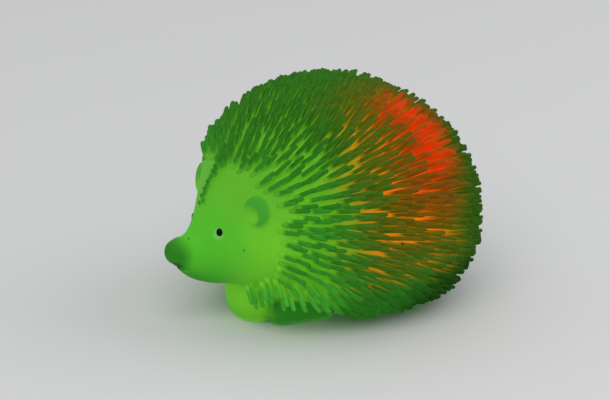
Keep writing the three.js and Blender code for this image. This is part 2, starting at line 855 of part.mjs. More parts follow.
function switchCuts() {
  const slotHalf = (knobLength + switchTravel) / 2 + seatGap;
  const slotHalfWidth = knobWidth / 2 + seatGap;
  const padHalf = (fingerPadLength + switchTravel) / 2 + seatGap;
  const padHalfWidth = fingerPadWidth / 2 + seatGap;
  const padTop = fingerPadInset + fingerPadThickness + seatGap;
  return [
    box(
      corner(-slotHalf, switchY - slotHalfWidth, -cutOverrun),
      corner(slotHalf, switchY + slotHalfWidth, floorThickness + cutOverrun),
    ),
    box(
      corner(-padHalf, switchY - padHalfWidth, -cutOverrun),
      corner(padHalf, switchY + padHalfWidth, padTop),
    ),
  ];
}

// A slit in the bay's end wall for the contact's tab
function contactSlit(end) {
  const inner = bayHalfLength - seatGap;
  const outer = troughHalfLength + seatGap;
  const [near, far] = end > 0 ? [inner, outer] : [-outer, -inner];
  return box(
    corner(near, tabPlaceY() - tabWidth / 2 - seatGap, tabPlaceZ() - tabHeight / 2 - seatGap),
    corner(far, tabPlaceY() + tabWidth / 2 + seatGap, tabPlaceZ() + tabHeight / 2 + seatGap),
  );
}

function tabPlaceY() {
  return contactWidth / 2 - tabWidth / 2;
}

function tabPlaceZ() {
  return cellCentreHeight + contactHeight / 2 - tabHeight / 2;
}

function makeClampRing() {
  const outline = circleHole(0, 0, flangeRadius, roundSides);
  const holes = baseScrewPlaces().map(([x, y]) => (
    circleHole(x, y, baseScrew.shaftRadius + seatGap, tinySides)
  ));
  const bore = circleHole(0, 0, neckRadius + seatGap, roundSides);
  return extruded(outline, [bore, ...holes], clampBottom, clampTop);
}

function screwSolid({ headRadius, headHeight, shaftRadius }, shaftLength, sides) {
  return revolved([
    [0, 0],
    [headRadius, 0],
    [headRadius, headHeight],
    [shaftRadius, headHeight],
    [shaftRadius, headHeight + shaftLength - shaftRadius],
    [0, headHeight + shaftLength],
  ], sides);
}

function placedScrew(screw, shaftLength, x, y, z, turnedOver) {
  const shape = screwSolid(screw, shaftLength, smallSides);
  if (turnedOver) shape.rotateX(Math.PI);
  shape.translate(x, y, z);
  return solidFrom(shape);
}

function makeDome() {
  const arc = (radius) => Array.from({ length: domeSteps }, (_, k) => {
    const angle = ((k + 1) / (domeSteps + 1)) * (Math.PI / 2);
    return [radius * Math.cos(angle), domeSpringHeight + radius * Math.sin(angle)];
  });
  const inner = domeRadius - domeWall;
  return solidFrom(revolved([
    [inner, domeBottom],
    [domeRadius, domeBottom],
    [domeRadius, domeSpringHeight],
    ...arc(domeRadius),
    [0, domeSpringHeight + domeRadius],
    [0, domeSpringHeight + inner],
    ...arc(inner).reverse(),
    [inner, domeSpringHeight],
    [inner, domeBottom],
  ], roundSides));
}

// Lamps: each leans outwards, on two leads that pass through the board
function ledFrame(k) {
  const angle = ledFirstAngle + (2 * Math.PI * k) / 3;
  const outward = corner(Math.cos(angle), Math.sin(angle), 0);
  const across = corner(-outward.y, outward.x, 0);
  const axis = corner(0, 0, Math.cos(ledTilt)).addScaledVector(outward, Math.sin(ledTilt));
  const base = outward.clone().multiplyScalar(ledRing);
  base.z = boardTop + ledLift;
  const bends = [-1, 1].map((side) => (
    base.clone().addScaledVector(across, (side * leadSpacing) / 2).addScaledVector(axis, -leadBend)
  ));
  return { base, axis, bends };
}

function makeLed(k) {
  const { base, axis, bends } = ledFrame(k);
  const barrel = ledLength - ledRadius;
  const tip = ledTipShares.map((share) => {
    const angle = (share * Math.PI) / 2;
    return [ledRadius * Math.cos(angle), barrel + ledRadius * Math.sin(angle)];
  });
  const body = solidFrom(aimed(revolved([
    [0, 0],
    [ledFlangeRadius, 0],
    [ledFlangeRadius, ledFlangeHeight],
    [ledRadius, ledFlangeHeight],
    [ledRadius, barrel],
    ...tip,
    [0, ledLength],
  ], smallSides), base, axis));
  const leads = bends.flatMap((bend) => {
    const root = bend.clone().addScaledVector(axis, leadBend + leadRootDepth);
    const below = bend.clone().setZ(boardBottom - leadTail);
    const elbow = bend.clone().setZ(bend.z + leadRadius);
    return [rod(bend, root, leadRadius, leadSides), rod(below, elbow, leadRadius, leadSides)];
  });
  return joined([body, ...leads]);
}

function makeBoard() {
  const outline = circleHole(0, 0, boardRadius, roundSides);
  const leadHoles = [0, 1, 2].flatMap((k) => ledFrame(k).bends.map((bend) => (
    circleHole(bend.x, bend.y, leadRadius + boardHoleGap, pinSides)
  )));
  const screwHoles = bossPlaces.map(([x, y]) => (
    circleHole(x, y, boardScrew.shaftRadius + seatGap, tinySides)
  ));
  return extruded(outline, [...leadHoles, ...screwHoles], boardBottom, boardTop);
}

function makeBlob() {
  const dome = [];
  for (let k = 0; k <= 3; k += 1) {
    const angle = (k / 3) * (Math.PI / 2);
    dome.push([blobRadius * Math.cos(angle), blobHeight * Math.sin(angle)]);
  }
  dome[dome.length - 1][0] = 0;
  const solid = revolved([[0, 0], ...dome], smallSides);
  solid.translate(blobRing, 0, boardTop + seatGap);
  return solidFrom(solid);
}

function makeResistor(angle) {
  const shape = new THREE.BoxGeometry(resistorWidth, resistorLength, resistorHeight);
  shape.rotateZ(angle);
  shape.translate(
    resistorRing * Math.cos(angle),
    resistorRing * Math.sin(angle),
    boardTop + seatGap + resistorHeight / 2,
  );
  return solidFrom(shape);
}

// Slide switch: a body on the floor, and a slider whose pad is reached from below
function makeSwitchBody() {
  const body = box(
    corner(-switchLength / 2, switchY - switchWidth / 2, switchBottom),
    corner(switchLength / 2, switchY + switchWidth / 2, switchBottom + switchHeight),
  );
  const slotHalf = (knobLength + switchTravel) / 2 + seatGap;
  const slot = box(
    corner(-slotHalf, switchY - knobWidth / 2 - seatGap, switchBottom - cutOverrun),
    corner(slotHalf, switchY + knobWidth / 2 + seatGap, switchBottom + switchHeight - switchRoof),
  );
  return body.subtract(slot);
}

function makeSwitchSlider() {
  const top = switchBottom + switchHeight - switchRoof - seatGap;
  const post = box(
    corner(-knobLength / 2, switchY - knobWidth / 2, fingerPadInset),
    corner(knobLength / 2, switchY + knobWidth / 2, top),
  );
  const pad = box(
    corner(-fingerPadLength / 2, switchY - fingerPadWidth / 2, fingerPadInset),
    corner(fingerPadLength / 2, switchY + fingerPadWidth / 2, fingerPadInset + fingerPadThickness),
  );
  return post.add(pad);
}

// Battery door: a plate that lifts off, with a captive screw in a pad at each end
function makeBatteryDoor() {
  const plate = box(
    corner(-recessHalfLength, -recessHalfWidth, doorInset),
    corner(recessHalfLength, recessHalfWidth, doorTop),
  );
  const pads = box(
    corner(-recessHalfLength - doorPadLength, -doorPadWidth / 2, doorInset),
    corner(recessHalfLength + doorPadLength, doorPadWidth / 2, doorTop),
  );
  const { headRadius, headHeight, shaftRadius } = doorScrew;
  const headRoom = doorInset + headHeight + seatGap;
  const holes = doorEnds.flatMap((end) => [
    cylinder(headRadius + seatGap, -cutOverrun, headRoom, end * doorScrewX, 0, smallSides),
    cylinder(shaftRadius + seatGap, 0, doorTop + seatGap, end * doorScrewX, 0, tinySides),
  ]);
  const grips = Array.from({ length: doorGripCount }, (_, k) => {
    const x = (k - (doorGripCount - 1) / 2) * doorGripPitch;
    const half = doorGripWidth / 2;
    return rod(corner(x, -half, doorInset), corner(x, half, doorInset), doorGripRadius, tinySides);
  });
  return without(joined([plate, pads]), [...holes, ...grips]);
}

// Cells stand in a row along X, from the spring to the contact plate
function cellStart(k) {
  return -bayHalfLength + springLength + 2 * seatGap + k * (cellThickness + seatGap);
}

function makeCell(k) {
  const radius = cellDiameter / 2;
  const can = cellThickness - cellCapHeight;
  const shape = revolved([
    [0, 0],
    [cellCapDiameter / 2, 0],
    [cellCapDiameter / 2, cellCapHeight],
    [radius - cellEdgeRound, cellCapHeight],
    [radius, cellCapHeight + cellEdgeRound],
    [radius, cellCapHeight + can],
    [0, cellCapHeight + can],
  ], cellSides);
  return solidFrom(aimed(shape, corner(cellStart(k), 0, cellCentreHeight), corner(1, 0, 0)));
}

// Two and a half turns that narrow towards the cell, on a plate of their own
function makeContactSpring() {
  const start = contactThickness - bayHalfLength + seatGap;
  const length = springLength - contactThickness - springWireRadius;
  const steps = springTurns * springSteps;
  const points = Array.from({ length: steps + 1 }, (_, k) => {
    const share = k / steps;
    const angle = 2 * Math.PI * springTurns * share;
    const radius = springRadius + (springTipRadius - springRadius) * share;
    return corner(
      start + length * share,
      radius * Math.cos(angle),
      cellCentreHeight + radius * Math.sin(angle),
    );
  });
  return contactPlate(-1).add(tube(points, springWireRadius, springSides, steps));
}

function tube(points, radius, sides, steps) {
  const outline = new THREE.Shape(circleHole(0, 0, radius, sides).getPoints());
  const route = new THREE.CatmullRomCurve3(points);
  const options = { steps, extrudePath: route, bevelEnabled: false };
  return solidFrom(new THREE.ExtrudeGeometry(outline, options));
}

// A plate against the bay's end wall, with a tab that goes out through the slit
function contactPlate(end) {
  const wall = end * (bayHalfLength - seatGap);
  const face = wall - end * contactThickness;
  const tabEnd = end * (troughHalfLength + tabReach);
  const plate = box(
    corner(Math.min(wall, face), -contactWidth / 2, cellCentreHeight - contactHeight / 2),
    corner(Math.max(wall, face), contactWidth / 2, cellCentreHeight + contactHeight / 2),
  );
  const tab = box(
    corner(Math.min(face, tabEnd), tabPlaceY() - tabWidth / 2, tabPlaceZ() - tabHeight / 2),
    corner(Math.max(face, tabEnd), tabPlaceY() + tabWidth / 2, tabPlaceZ() + tabHeight / 2),
  );
  return plate.add(tab);
}

// Wires rise from the contacts' tabs and from the switch to the underside of the board
function makeWire(x, y, bottom, lean) {
  const top = boardBottom - seatGap;
  const points = wireShares.map((share) => corner(
    x + lean * THREE.MathUtils.smoothstep(share, 0, 1),
    y,
    THREE.MathUtils.lerp(bottom + seatGap, top, share),
  ));
  return tube(points, wireRadius, wireSides, wireSteps);
}

function makeWires() {
  const tabX = troughHalfLength + tabReach / 2;
  const tabTop = tabPlaceZ() + tabHeight / 2;
  const switchTop = switchBottom + switchHeight;
  const poleX = switchLength * switchPoleShare;
  return {
    wire_positive: makeWire(tabX, tabPlaceY(), tabTop, wireLean),
    wire_negative: makeWire(-tabX, tabPlaceY(), tabTop, -wireLean),
    wire_switch_in: makeWire(-poleX, switchY, switchTop, wireLean),
    wire_switch_out: makeWire(poleX, switchY, switchTop, -wireLean),
  };
}

const rubberGreen = { color: 0x6ab53a, roughness: 0.45, metalness: 0 };
const spineGreen = { color: 0x47822c, roughness: 0.5, metalness: 0 };
const beadBlack = { color: 0x0a0b0c, roughness: 0.15, metalness: 0 };
const housingWhite = { color: 0xe9e7df, roughness: 0.45, metalness: 0 };
const ringGrey = { color: 0x6d6f70, roughness: 0.5, metalness: 0 };
const screwSteel = { color: 0xb9bbbd, roughness: 0.35, metalness: 1 };
const contactNickel = { color: 0xc9c6bb, roughness: 0.3, metalness: 1 };
const domeFrost = { color: 0xf2f4f2, roughness: 0.3, metalness: 0 };
const boardGreen = { color: 0x1f5c38, roughness: 0.4, metalness: 0 };
const epoxyBlack = { color: 0x15161a, roughness: 0.3, metalness: 0 };
const switchBlack = { color: 0x1c1d20, roughness: 0.5, metalness: 0 };
const wireLooks = {
  wire_positive: { color: 0xb3261f, roughness: 0.5, metalness: 0 },
  wire_negative: { color: 0x17181b, roughness: 0.5, metalness: 0 },
  wire_switch_in: { color: 0xd8d4c8, roughness: 0.5, metalness: 0 },
  wire_switch_out: { color: 0xd8d4c8, roughness: 0.5, metalness: 0 },
};
const ledLooks = {
  led_green: { color: 0x57d36a, roughness: 0.15, metalness: 0 },
  led_red: { color: 0xe8452a, roughness: 0.15, metalness: 0 },
  led_white: { color: 0xd5ecf2, roughness: 0.15, metalness: 0 },
};

function makeLightModule() {
  const group = new THREE.Group();
  group.position.set(moduleX, 0, 0);
  group.add(meshOf('base_housing', makeBaseHousing(), housingWhite));
  group.add(meshOf('clamp_ring', makeClampRing(), ringGrey));
  const baseShaft = clampTop - baseScrew.tipGap - baseScrew.headInset - baseScrew.headHeight;
  baseScrewPlaces().forEach(([x, y], k) => {
    const solid = placedScrew(baseScrew, baseShaft, x, y, baseScrew.headInset, false);
    group.add(meshOf(`base_screw_${k + 1}`, solid, screwSteel));
  });
  group.add(meshOf('light_dome', makeDome(), domeFrost));
  group.add(meshOf('circuit_board', makeBoard(), boardGreen));
  bossPlaces.forEach(([x, y], k) => {
    const top = boardTop + seatGap + boardScrew.headHeight;
    const solid = placedScrew(boardScrew, boardScrew.shaftLength, x, y, top, true);
    group.add(meshOf(`board_screw_${k + 1}`, solid, screwSteel));
  });
  Object.entries(ledLooks).forEach(([name, look], k) => group.add(meshOf(name, makeLed(k), look)));
  group.add(meshOf('controller_blob', makeBlob(), epoxyBlack));
  resistorAngles.forEach((angle, k) => {
    group.add(meshOf(`resistor_${k + 1}`, makeResistor(angle), epoxyBlack));
  });
  group.add(meshOf('switch_body', makeSwitchBody(), contactNickel));
  group.add(meshOf('switch_slider', makeSwitchSlider(), switchBlack));
  group.add(meshOf('battery_door', makeBatteryDoor(), housingWhite));
  doorEnds.forEach((end, k) => {
    const { shaftLength } = doorScrew;
    const solid = placedScrew(doorScrew, shaftLength, end * doorScrewX, 0, doorInset, false);
    group.add(meshOf(`door_screw_${k + 1}`, solid, screwSteel));
  });
  for (let k = 0; k < cellCount; k += 1) {
    group.add(meshOf(`button_cell_${k + 1}`, makeCell(k), contactNickel));
  }
  group.add(meshOf('contact_spring', makeContactSpring(), contactNickel));
  group.add(meshOf('contact_plate', contactPlate(1), contactNickel));
  Object.entries(makeWires()).forEach(([name, solid]) => {
    group.add(meshOf(name, solid, wireLooks[name]));
  });
  return group;
}

function makeBody() {
  const group = new THREE.Group();
  const { outer, cavity } = makeShell();
  const shell = outer.subtract(cavity);
  const skin = makeBodySkin(shell, cavity).subtract(makeMouth());
  group.add(meshOf('body_skin', skin, rubberGreen));
  makeCoat(shell).forEach(({ name, solid }) => group.add(meshOf(name, solid, spineGreen)));
  for (const [name, side] of [['eye_left', -1], ['eye_right', 1]]) {
    group.add(meshOf(name, eyeSolid(side, eyeRadius), beadBlack));
  }
  return group;
}

const hedgehog = new THREE.Group();
hedgehog.add(makeBody(), makeLightModule());

export default hedgehog;
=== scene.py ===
import json
import math
import random

import bmesh
import bpy
from mathutils import Matrix, Vector, noise

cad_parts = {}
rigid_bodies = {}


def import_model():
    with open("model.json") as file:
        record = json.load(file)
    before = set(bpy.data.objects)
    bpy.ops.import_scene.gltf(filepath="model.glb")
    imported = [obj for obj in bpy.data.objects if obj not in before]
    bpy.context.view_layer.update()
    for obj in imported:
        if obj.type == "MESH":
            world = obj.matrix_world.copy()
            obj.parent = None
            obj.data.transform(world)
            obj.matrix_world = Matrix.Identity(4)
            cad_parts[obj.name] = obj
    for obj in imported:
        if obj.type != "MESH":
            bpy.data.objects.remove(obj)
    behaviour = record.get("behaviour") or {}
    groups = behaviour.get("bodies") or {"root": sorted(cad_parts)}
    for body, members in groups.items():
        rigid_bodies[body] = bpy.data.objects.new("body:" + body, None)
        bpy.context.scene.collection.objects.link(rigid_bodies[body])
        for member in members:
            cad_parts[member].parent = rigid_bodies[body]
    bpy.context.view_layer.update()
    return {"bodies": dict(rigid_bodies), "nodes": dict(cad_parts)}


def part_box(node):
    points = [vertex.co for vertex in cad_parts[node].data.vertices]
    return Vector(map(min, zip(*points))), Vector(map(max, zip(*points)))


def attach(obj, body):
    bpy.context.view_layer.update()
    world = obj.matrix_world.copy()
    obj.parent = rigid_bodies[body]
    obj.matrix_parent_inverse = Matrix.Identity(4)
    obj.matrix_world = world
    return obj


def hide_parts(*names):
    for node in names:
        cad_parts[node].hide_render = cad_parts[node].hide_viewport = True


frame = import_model()


# Camera, lamps and floor

cameraSet = {
    "target": (-0.0033, 0.0019, 0.0452),
    "azimuth": -30.0,
    "elevation": 20.0,
    "distance": 1.759,
    "lens": 250.0,
    "sensor": 36.0,
}

lampSet = {
    "keyPlace": (-0.75, -0.95, 1.25),
    "keySize": 1.3,
    "keyPower": 13.0,
    "fillPlace": (1.1, -0.35, 0.8),
    "fillSize": 1.4,
    "fillPower": 6.0,
    "worldColor": (0.93, 0.95, 1.0),
    "worldStrength": 0.73,
}

# the floor lies a hair below the soles, so that the two faces are never at one height
floorSet = {"size": 9.0, "color": (0.58, 0.575, 0.56), "roughness": 0.8, "slit": 0.003, "drop": 0.0001}


def srgb(red, green, blue):
    # 0 to 255 as seen on a screen, to the linear colour that a shader takes
    def linear(value):
        value /= 255
        return value / 12.92 if value <= 0.04045 else ((value + 0.055) / 1.055) ** 2.4

    return (linear(red), linear(green), linear(blue), 1.0)


def addNode(tree, kind, values=None, **settings):
    node = tree.nodes.new(kind)
    for name, value in settings.items():
        setattr(node, name, value)
    for name, value in (values or {}).items():
        node.inputs[name].default_value = value
    return node


def feed(tree, socket, value):
    # another node's output is linked, and a number, place or colour is set
    if isinstance(value, bpy.types.NodeSocket):
        tree.links.new(value, socket)
    else:
        socket.default_value = value


def mathNode(tree, operation, *values, clamp=False):
    node = addNode(tree, "ShaderNodeMath", operation=operation, use_clamp=clamp)
    for socket, value in zip(node.inputs, values):
        feed(tree, socket, value)
    return node.outputs[0]


def vectorNode(tree, operation, *values, scale=None):
    node = addNode(tree, "ShaderNodeVectorMath", operation=operation)
    for socket, value in zip(node.inputs, values):
        feed(tree, socket, value)
    if scale is not None:
        feed(tree, node.inputs["Scale"], scale)
    return node.outputs["Value" if operation in ("DISTANCE", "DOT_PRODUCT") else "Vector"]


def splitVector(tree, vector):
    node = addNode(tree, "ShaderNodeSeparateXYZ")
    tree.links.new(vector, node.inputs[0])
    return node.outputs


def textureNode(tree, kind, vector, values):
    node = addNode(tree, kind, values)
    tree.links.new(vector, node.inputs["Vector"])
    return node


def rampMask(tree, value, start, end):
    # 0 at start and 1 at end, eased at both
    node = addNode(
        tree, "ShaderNodeMapRange", {"From Min": start, "From Max": end}, interpolation_type="SMOOTHSTEP"
    )
    tree.links.new(value, node.inputs["Value"])
    return node.outputs["Result"]


def nearMask(tree, vector, centre, inner, outer):
    # 1 within inner of a point, 0 beyond outer
    return rampMask(tree, vectorNode(tree, "DISTANCE", vector, centre), outer, inner)


def lineMask(tree, vector, start, end, inner, outer):
    # 1 within inner of a line between two points, 0 beyond outer
    span = Vector(end) - Vector(start)
    away = vectorNode(tree, "SUBTRACT", vector, start)
    along = vectorNode(tree, "DOT_PRODUCT", away, span / span.length_squared)
    share = mathNode(tree, "ADD", along, 0.0, clamp=True)
    onLine = vectorNode(tree, "SCALE", span, scale=share)
    return rampMask(tree, vectorNode(tree, "DISTANCE", away, onLine), outer, inner)


def mixColor(tree, mask, under, over):
    # inputs 6 and 7 and output 2 are the ones for colours
    node = addNode(tree, "ShaderNodeMix", data_type="RGBA")
    for number, value in ((0, mask), (6, under), (7, over)):
        feed(tree, node.inputs[number], value)
    return node.outputs[2]


def tintColor(tree, mask, share, under, over):
    # the mask lays on only a share of the over colour
    return mixColor(tree, mathNode(tree, "MULTIPLY", mask, share), under, over)


def newGroup(name, inputs, outputs):
    group = bpy.data.node_groups.new(name, "ShaderNodeTree")
    for label, kind, value in inputs:
        socket = group.interface.new_socket(name=label, in_out="INPUT", socket_type=kind)
        if value is not None:
            socket.default_value = value
    for label, kind in outputs:
        group.interface.new_socket(name=label, in_out="OUTPUT", socket_type=kind)
    return group, addNode(group, "NodeGroupInput"), addNode(group, "NodeGroupOutput")


def placeGroup(tree, group, vector, values=None):
    node = addNode(tree, "ShaderNodeGroup", node_tree=group)
    for name, value in (values or {}).items():
        node.inputs[name].default_value = value
    tree.links.new(vector, node.inputs["Vector"])
    return node


def newMaterial(name, shaderValues):
    material = bpy.data.materials.new(name)
    material.use_nodes = True
    tree = material.node_tree
    tree.nodes.clear()
    shader = addNode(tree, "ShaderNodeBsdfPrincipled", shaderValues)
    output = addNode(tree, "ShaderNodeOutputMaterial")
    tree.links.new(shader.outputs[0], output.inputs["Surface"])
    vector = addNode(tree, "ShaderNodeTexCoord").outputs["Object"]
    return material, tree, shader, vector


def bumpFrom(tree, shader, height, strength, distance):
    bump = addNode(tree, "ShaderNodeBump", {"Strength": strength, "Distance": distance})
    tree.links.new(height, bump.inputs["Height"])
    tree.links.new(bump.outputs["Normal"], shader.inputs["Normal"])


def linkMesh(name, mesh):
    piece = bpy.data.objects.new(name, mesh)
    bpy.context.scene.collection.objects.link(piece)
    return piece


def makeCamera():
    camera = bpy.data.objects.new("photoCamera", bpy.data.cameras.new("photoCamera"))
    bpy.context.scene.collection.objects.link(camera)
    azimuth = math.radians(cameraSet["azimuth"])
    elevation = math.radians(cameraSet["elevation"])
    back = Vector((
        math.sin(azimuth) * math.cos(elevation),
        -math.cos(azimuth) * math.cos(elevation),
        math.sin(elevation),
    ))
    camera.location = Vector(cameraSet["target"]) + back * cameraSet["distance"]
    camera.rotation_euler = back.to_track_quat("Z", "Y").to_euler()
    camera.data.lens = cameraSet["lens"]
    camera.data.sensor_width = cameraSet["sensor"]
    bpy.context.scene.camera = camera


def makeAreaLamp(name, place, size, power):
    lamp = bpy.data.lights.new(name, "AREA")
    lamp.shape = "DISK"
    lamp.size = size
    lamp.energy = power
    holder = bpy.data.objects.new(name, lamp)
    bpy.context.scene.collection.objects.link(holder)
    holder.location = place
    holder.rotation_euler = (Vector(place) - Vector(cameraSet["target"])).to_track_quat("Z", "Y").to_euler()


def makeWorld():
    world = bpy.data.worlds.new("softRoom")
    world.use_nodes = True
    background = world.node_tree.nodes["Background"]
    background.inputs["Color"].default_value = (*lampSet["worldColor"], 1.0)
    background.inputs["Strength"].default_value = lampSet["worldStrength"]
    bpy.context.scene.world = world


def makeFloor():
    half = floorSet["size"] / 2
    corners = [(-half, -half, 0), (half, -half, 0), (half, half, 0), (-half, half, 0)]
    mesh = bpy.data.meshes.new("floor")
    mesh.from_pydata(corners, [], [(0, 1, 2, 3)])
    floor = linkMesh("floor", mesh)
    floor.location.z = -floorSet["drop"]
    values = {"Base Color": (*floorSet["color"], 1.0), "Roughness": floorSet["roughness"]}
    material, tree, shader = newMaterial("paleFloor", values)[:3]
    # seen from below, the floor lets the underside show, and lets light into the slit under the base
    clear = addNode(tree, "ShaderNodeBsdfTransparent")
    mix = addNode(tree, "ShaderNodeMixShader")
    facing = addNode(tree, "ShaderNodeNewGeometry")
    rays = addNode(tree, "ShaderNodeLightPath")
    short = mathNode(tree, "LESS_THAN", rays.outputs["Ray Length"], floorSet["slit"])
    slit = mathNode(tree, "MULTIPLY", short, mathNode(tree, "SUBTRACT", 1.0, rays.outputs["Is Camera Ray"]))
    tree.links.new(mathNode(tree, "MAXIMUM", facing.outputs["Backfacing"], slit), mix.inputs[0])
    tree.links.new(shader.outputs[0], mix.inputs[1])
    tree.links.new(clear.outputs[0], mix.inputs[2])
    output = next(node for node in tree.nodes if node.type == "OUTPUT_MATERIAL")
    tree.links.new(mix.outputs[0], output.inputs["Surface"])
    mesh.materials.append(material)


bpy.context.scene.view_settings.view_transform = "Standard"
makeCamera()
makeAreaLamp("keyLamp", lampSet["keyPlace"], lampSet["keySize"], lampSet["keyPower"])
makeAreaLamp("fillLamp", lampSet["fillPlace"], lampSet["fillSize"], lampSet["fillPower"])
makeWorld()
makeFloor()
print("camera, lamps and floor placed")


# Shader groups that several finishes share

grainSet = {
    "scale": 1800.0,
    "mottleScale": 120.0,
    "fine": {"Detail": 3.0, "Roughness": 0.6},
    "broad": {"Detail": 4.0, "Roughness": 0.5},
}


def makeGrainGroup():
    # fine moulded texture: a height for the bump and a faint mottling of tone
    group, entry, out = newGroup(
        "mouldedGrain",
        [
            ("Vector", "NodeSocketVector", None),
            ("Grain Scale", "NodeSocketFloat", grainSet["scale"]),
            ("Mottle Scale", "NodeSocketFloat", grainSet["mottleScale"]),
        ],
        [("Height", "NodeSocketFloat"), ("Mottle", "NodeSocketFloat")],
    )
    for kind, scale, result in (("fine", "Grain Scale", "Height"), ("broad", "Mottle Scale", "Mottle")):
        texture = textureNode(group, "ShaderNodeTexNoise", entry.outputs["Vector"], grainSet[kind])
        group.links.new(entry.outputs[scale], texture.inputs["Scale"])
        group.links.new(texture.outputs["Fac"], out.inputs[result])
    return group


scuffSet = {
    "scratchScale": 260.0,
    "patchScale": 90.0,
    "stretch": (1.0, 0.12, 1.0),
    "scratchNoise": {"Detail": 2.0, "Distortion": 1.4},
    # a scratch runs where its noise passes this value
    "scratchLevel": 0.5,
    "scratchRamp": (0.012, 0.0),
    "patchNoise": {"Detail": 5.0, "Roughness": 0.65},
    "patchRamp": (0.42, 0.68),
}


def makeScuffGroup():
    # thin wandering scratches, and the dull patches that handling leaves
    group, entry, out = newGroup(
        "handlingScuffs",
        [
            ("Vector", "NodeSocketVector", None),
            ("Scratch Scale", "NodeSocketFloat", scuffSet["scratchScale"]),
            ("Patch Scale", "NodeSocketFloat", scuffSet["patchScale"]),
        ],
        [("Scratches", "NodeSocketFloat"), ("Patches", "NodeSocketFloat")],
    )
    stretched = vectorNode(group, "MULTIPLY", entry.outputs["Vector"], scuffSet["stretch"])
    lines = textureNode(group, "ShaderNodeTexNoise", stretched, scuffSet["scratchNoise"])
    group.links.new(entry.outputs["Scratch Scale"], lines.inputs["Scale"])
    offset = mathNode(group, "SUBTRACT", lines.outputs["Fac"], scuffSet["scratchLevel"])
    scratches = rampMask(group, mathNode(group, "ABSOLUTE", offset), *scuffSet["scratchRamp"])
    group.links.new(scratches, out.inputs["Scratches"])
    patches = textureNode(group, "ShaderNodeTexNoise", entry.outputs["Vector"], scuffSet["patchNoise"])
    group.links.new(entry.outputs["Patch Scale"], patches.inputs["Scale"])
    group.links.new(rampMask(group, patches.outputs["Fac"], *scuffSet["patchRamp"]), out.inputs["Patches"])
    return group


# how much the rubber glows, and how far its own colour is held down under the room's light
litSet = {"glow": 0.56, "shade": 0.45, "black": srgb(0, 0, 0)}

glowSet = {
    # the edges of the colours wander by this noise
    "wander": {"Scale": 55.0, "Detail": 2.0},
    "wanderMiddle": (0.5, 0.5, 0.5),
    "wanderReach": 0.014,
    # the red lamp shows as a band along the upper rear of the left side, and reaches down the flank
    "coreLine": ((0.0255, -0.0245, 0.0835), (0.0320, -0.0385, 0.0730)),
    "core": (0.0040, 0.0155),
    "emberLine": ((0.030, -0.026, 0.082), (0.028, -0.048, 0.066)),
    "ember": (0.005, 0.027),
    "reachLine": ((0.028, -0.030, 0.078), (0.022, -0.056, 0.040)),
    "reach": (0.010, 0.047),
    "muzzle": srgb(76, 176, 40),
    "cheek": srgb(104, 186, 38),
    # painted shade on the upper face, holding back the key lamp's light there
    "upperFaceShade": srgb(88, 166, 38),
    "noseTip": srgb(36, 110, 25),
    "nosePlace": (-0.0662, 0.0, 0.0332),
    "nose": (0.0050, 0.0092),
    "rearGap": srgb(82, 140, 18),
    "reachGap": srgb(252, 150, 18),
    "emberGap": srgb(246, 98, 8),
    "coreGap": srgb(236, 70, 6),
    "frontTip": srgb(46, 130, 32),
    "middleTip": srgb(34, 108, 26),
    "rearTip": srgb(44, 78, 2),
    "topTip": srgb(42, 100, 20),
    "breastTip": srgb(63, 155, 43),
    # painted shade on the low spines at the rear, where little light reaches
    "rumpShadeTip": srgb(12, 54, 4),
    "reachTip": srgb(88, 82, 2),
    "emberTip": srgb(124, 62, 2),
    "coreTip": srgb(224, 48, 2),
}

# the axis that a colour comes in along, where it starts and where it is full
glowRamps = {
    "beforeTail": ("X", 0.062, 0.034),
    "aboveHem": ("Z", 0.010, 0.030),
    "cheek": ("X", -0.054, -0.036),
    "forehead": ("Z", 0.040, 0.066),
    "faceOnly": ("X", -0.024, -0.034),
    "rear": ("X", -0.026, 0.014),
    "middle": ("X", -0.030, 0.0),
    "high": ("Z", 0.062, 0.088),
    "low": ("Z", 0.034, 0.018),
    "breast": ("X", -0.004, -0.022),
    "farBack": ("X", 0.016, 0.055),
    "rump": ("X", 0.012, 0.034),
    "tipsAboveHem": ("Z", 0.016, 0.052),
    "tipsBeforeTail": ("X", 0.058, 0.028),
}


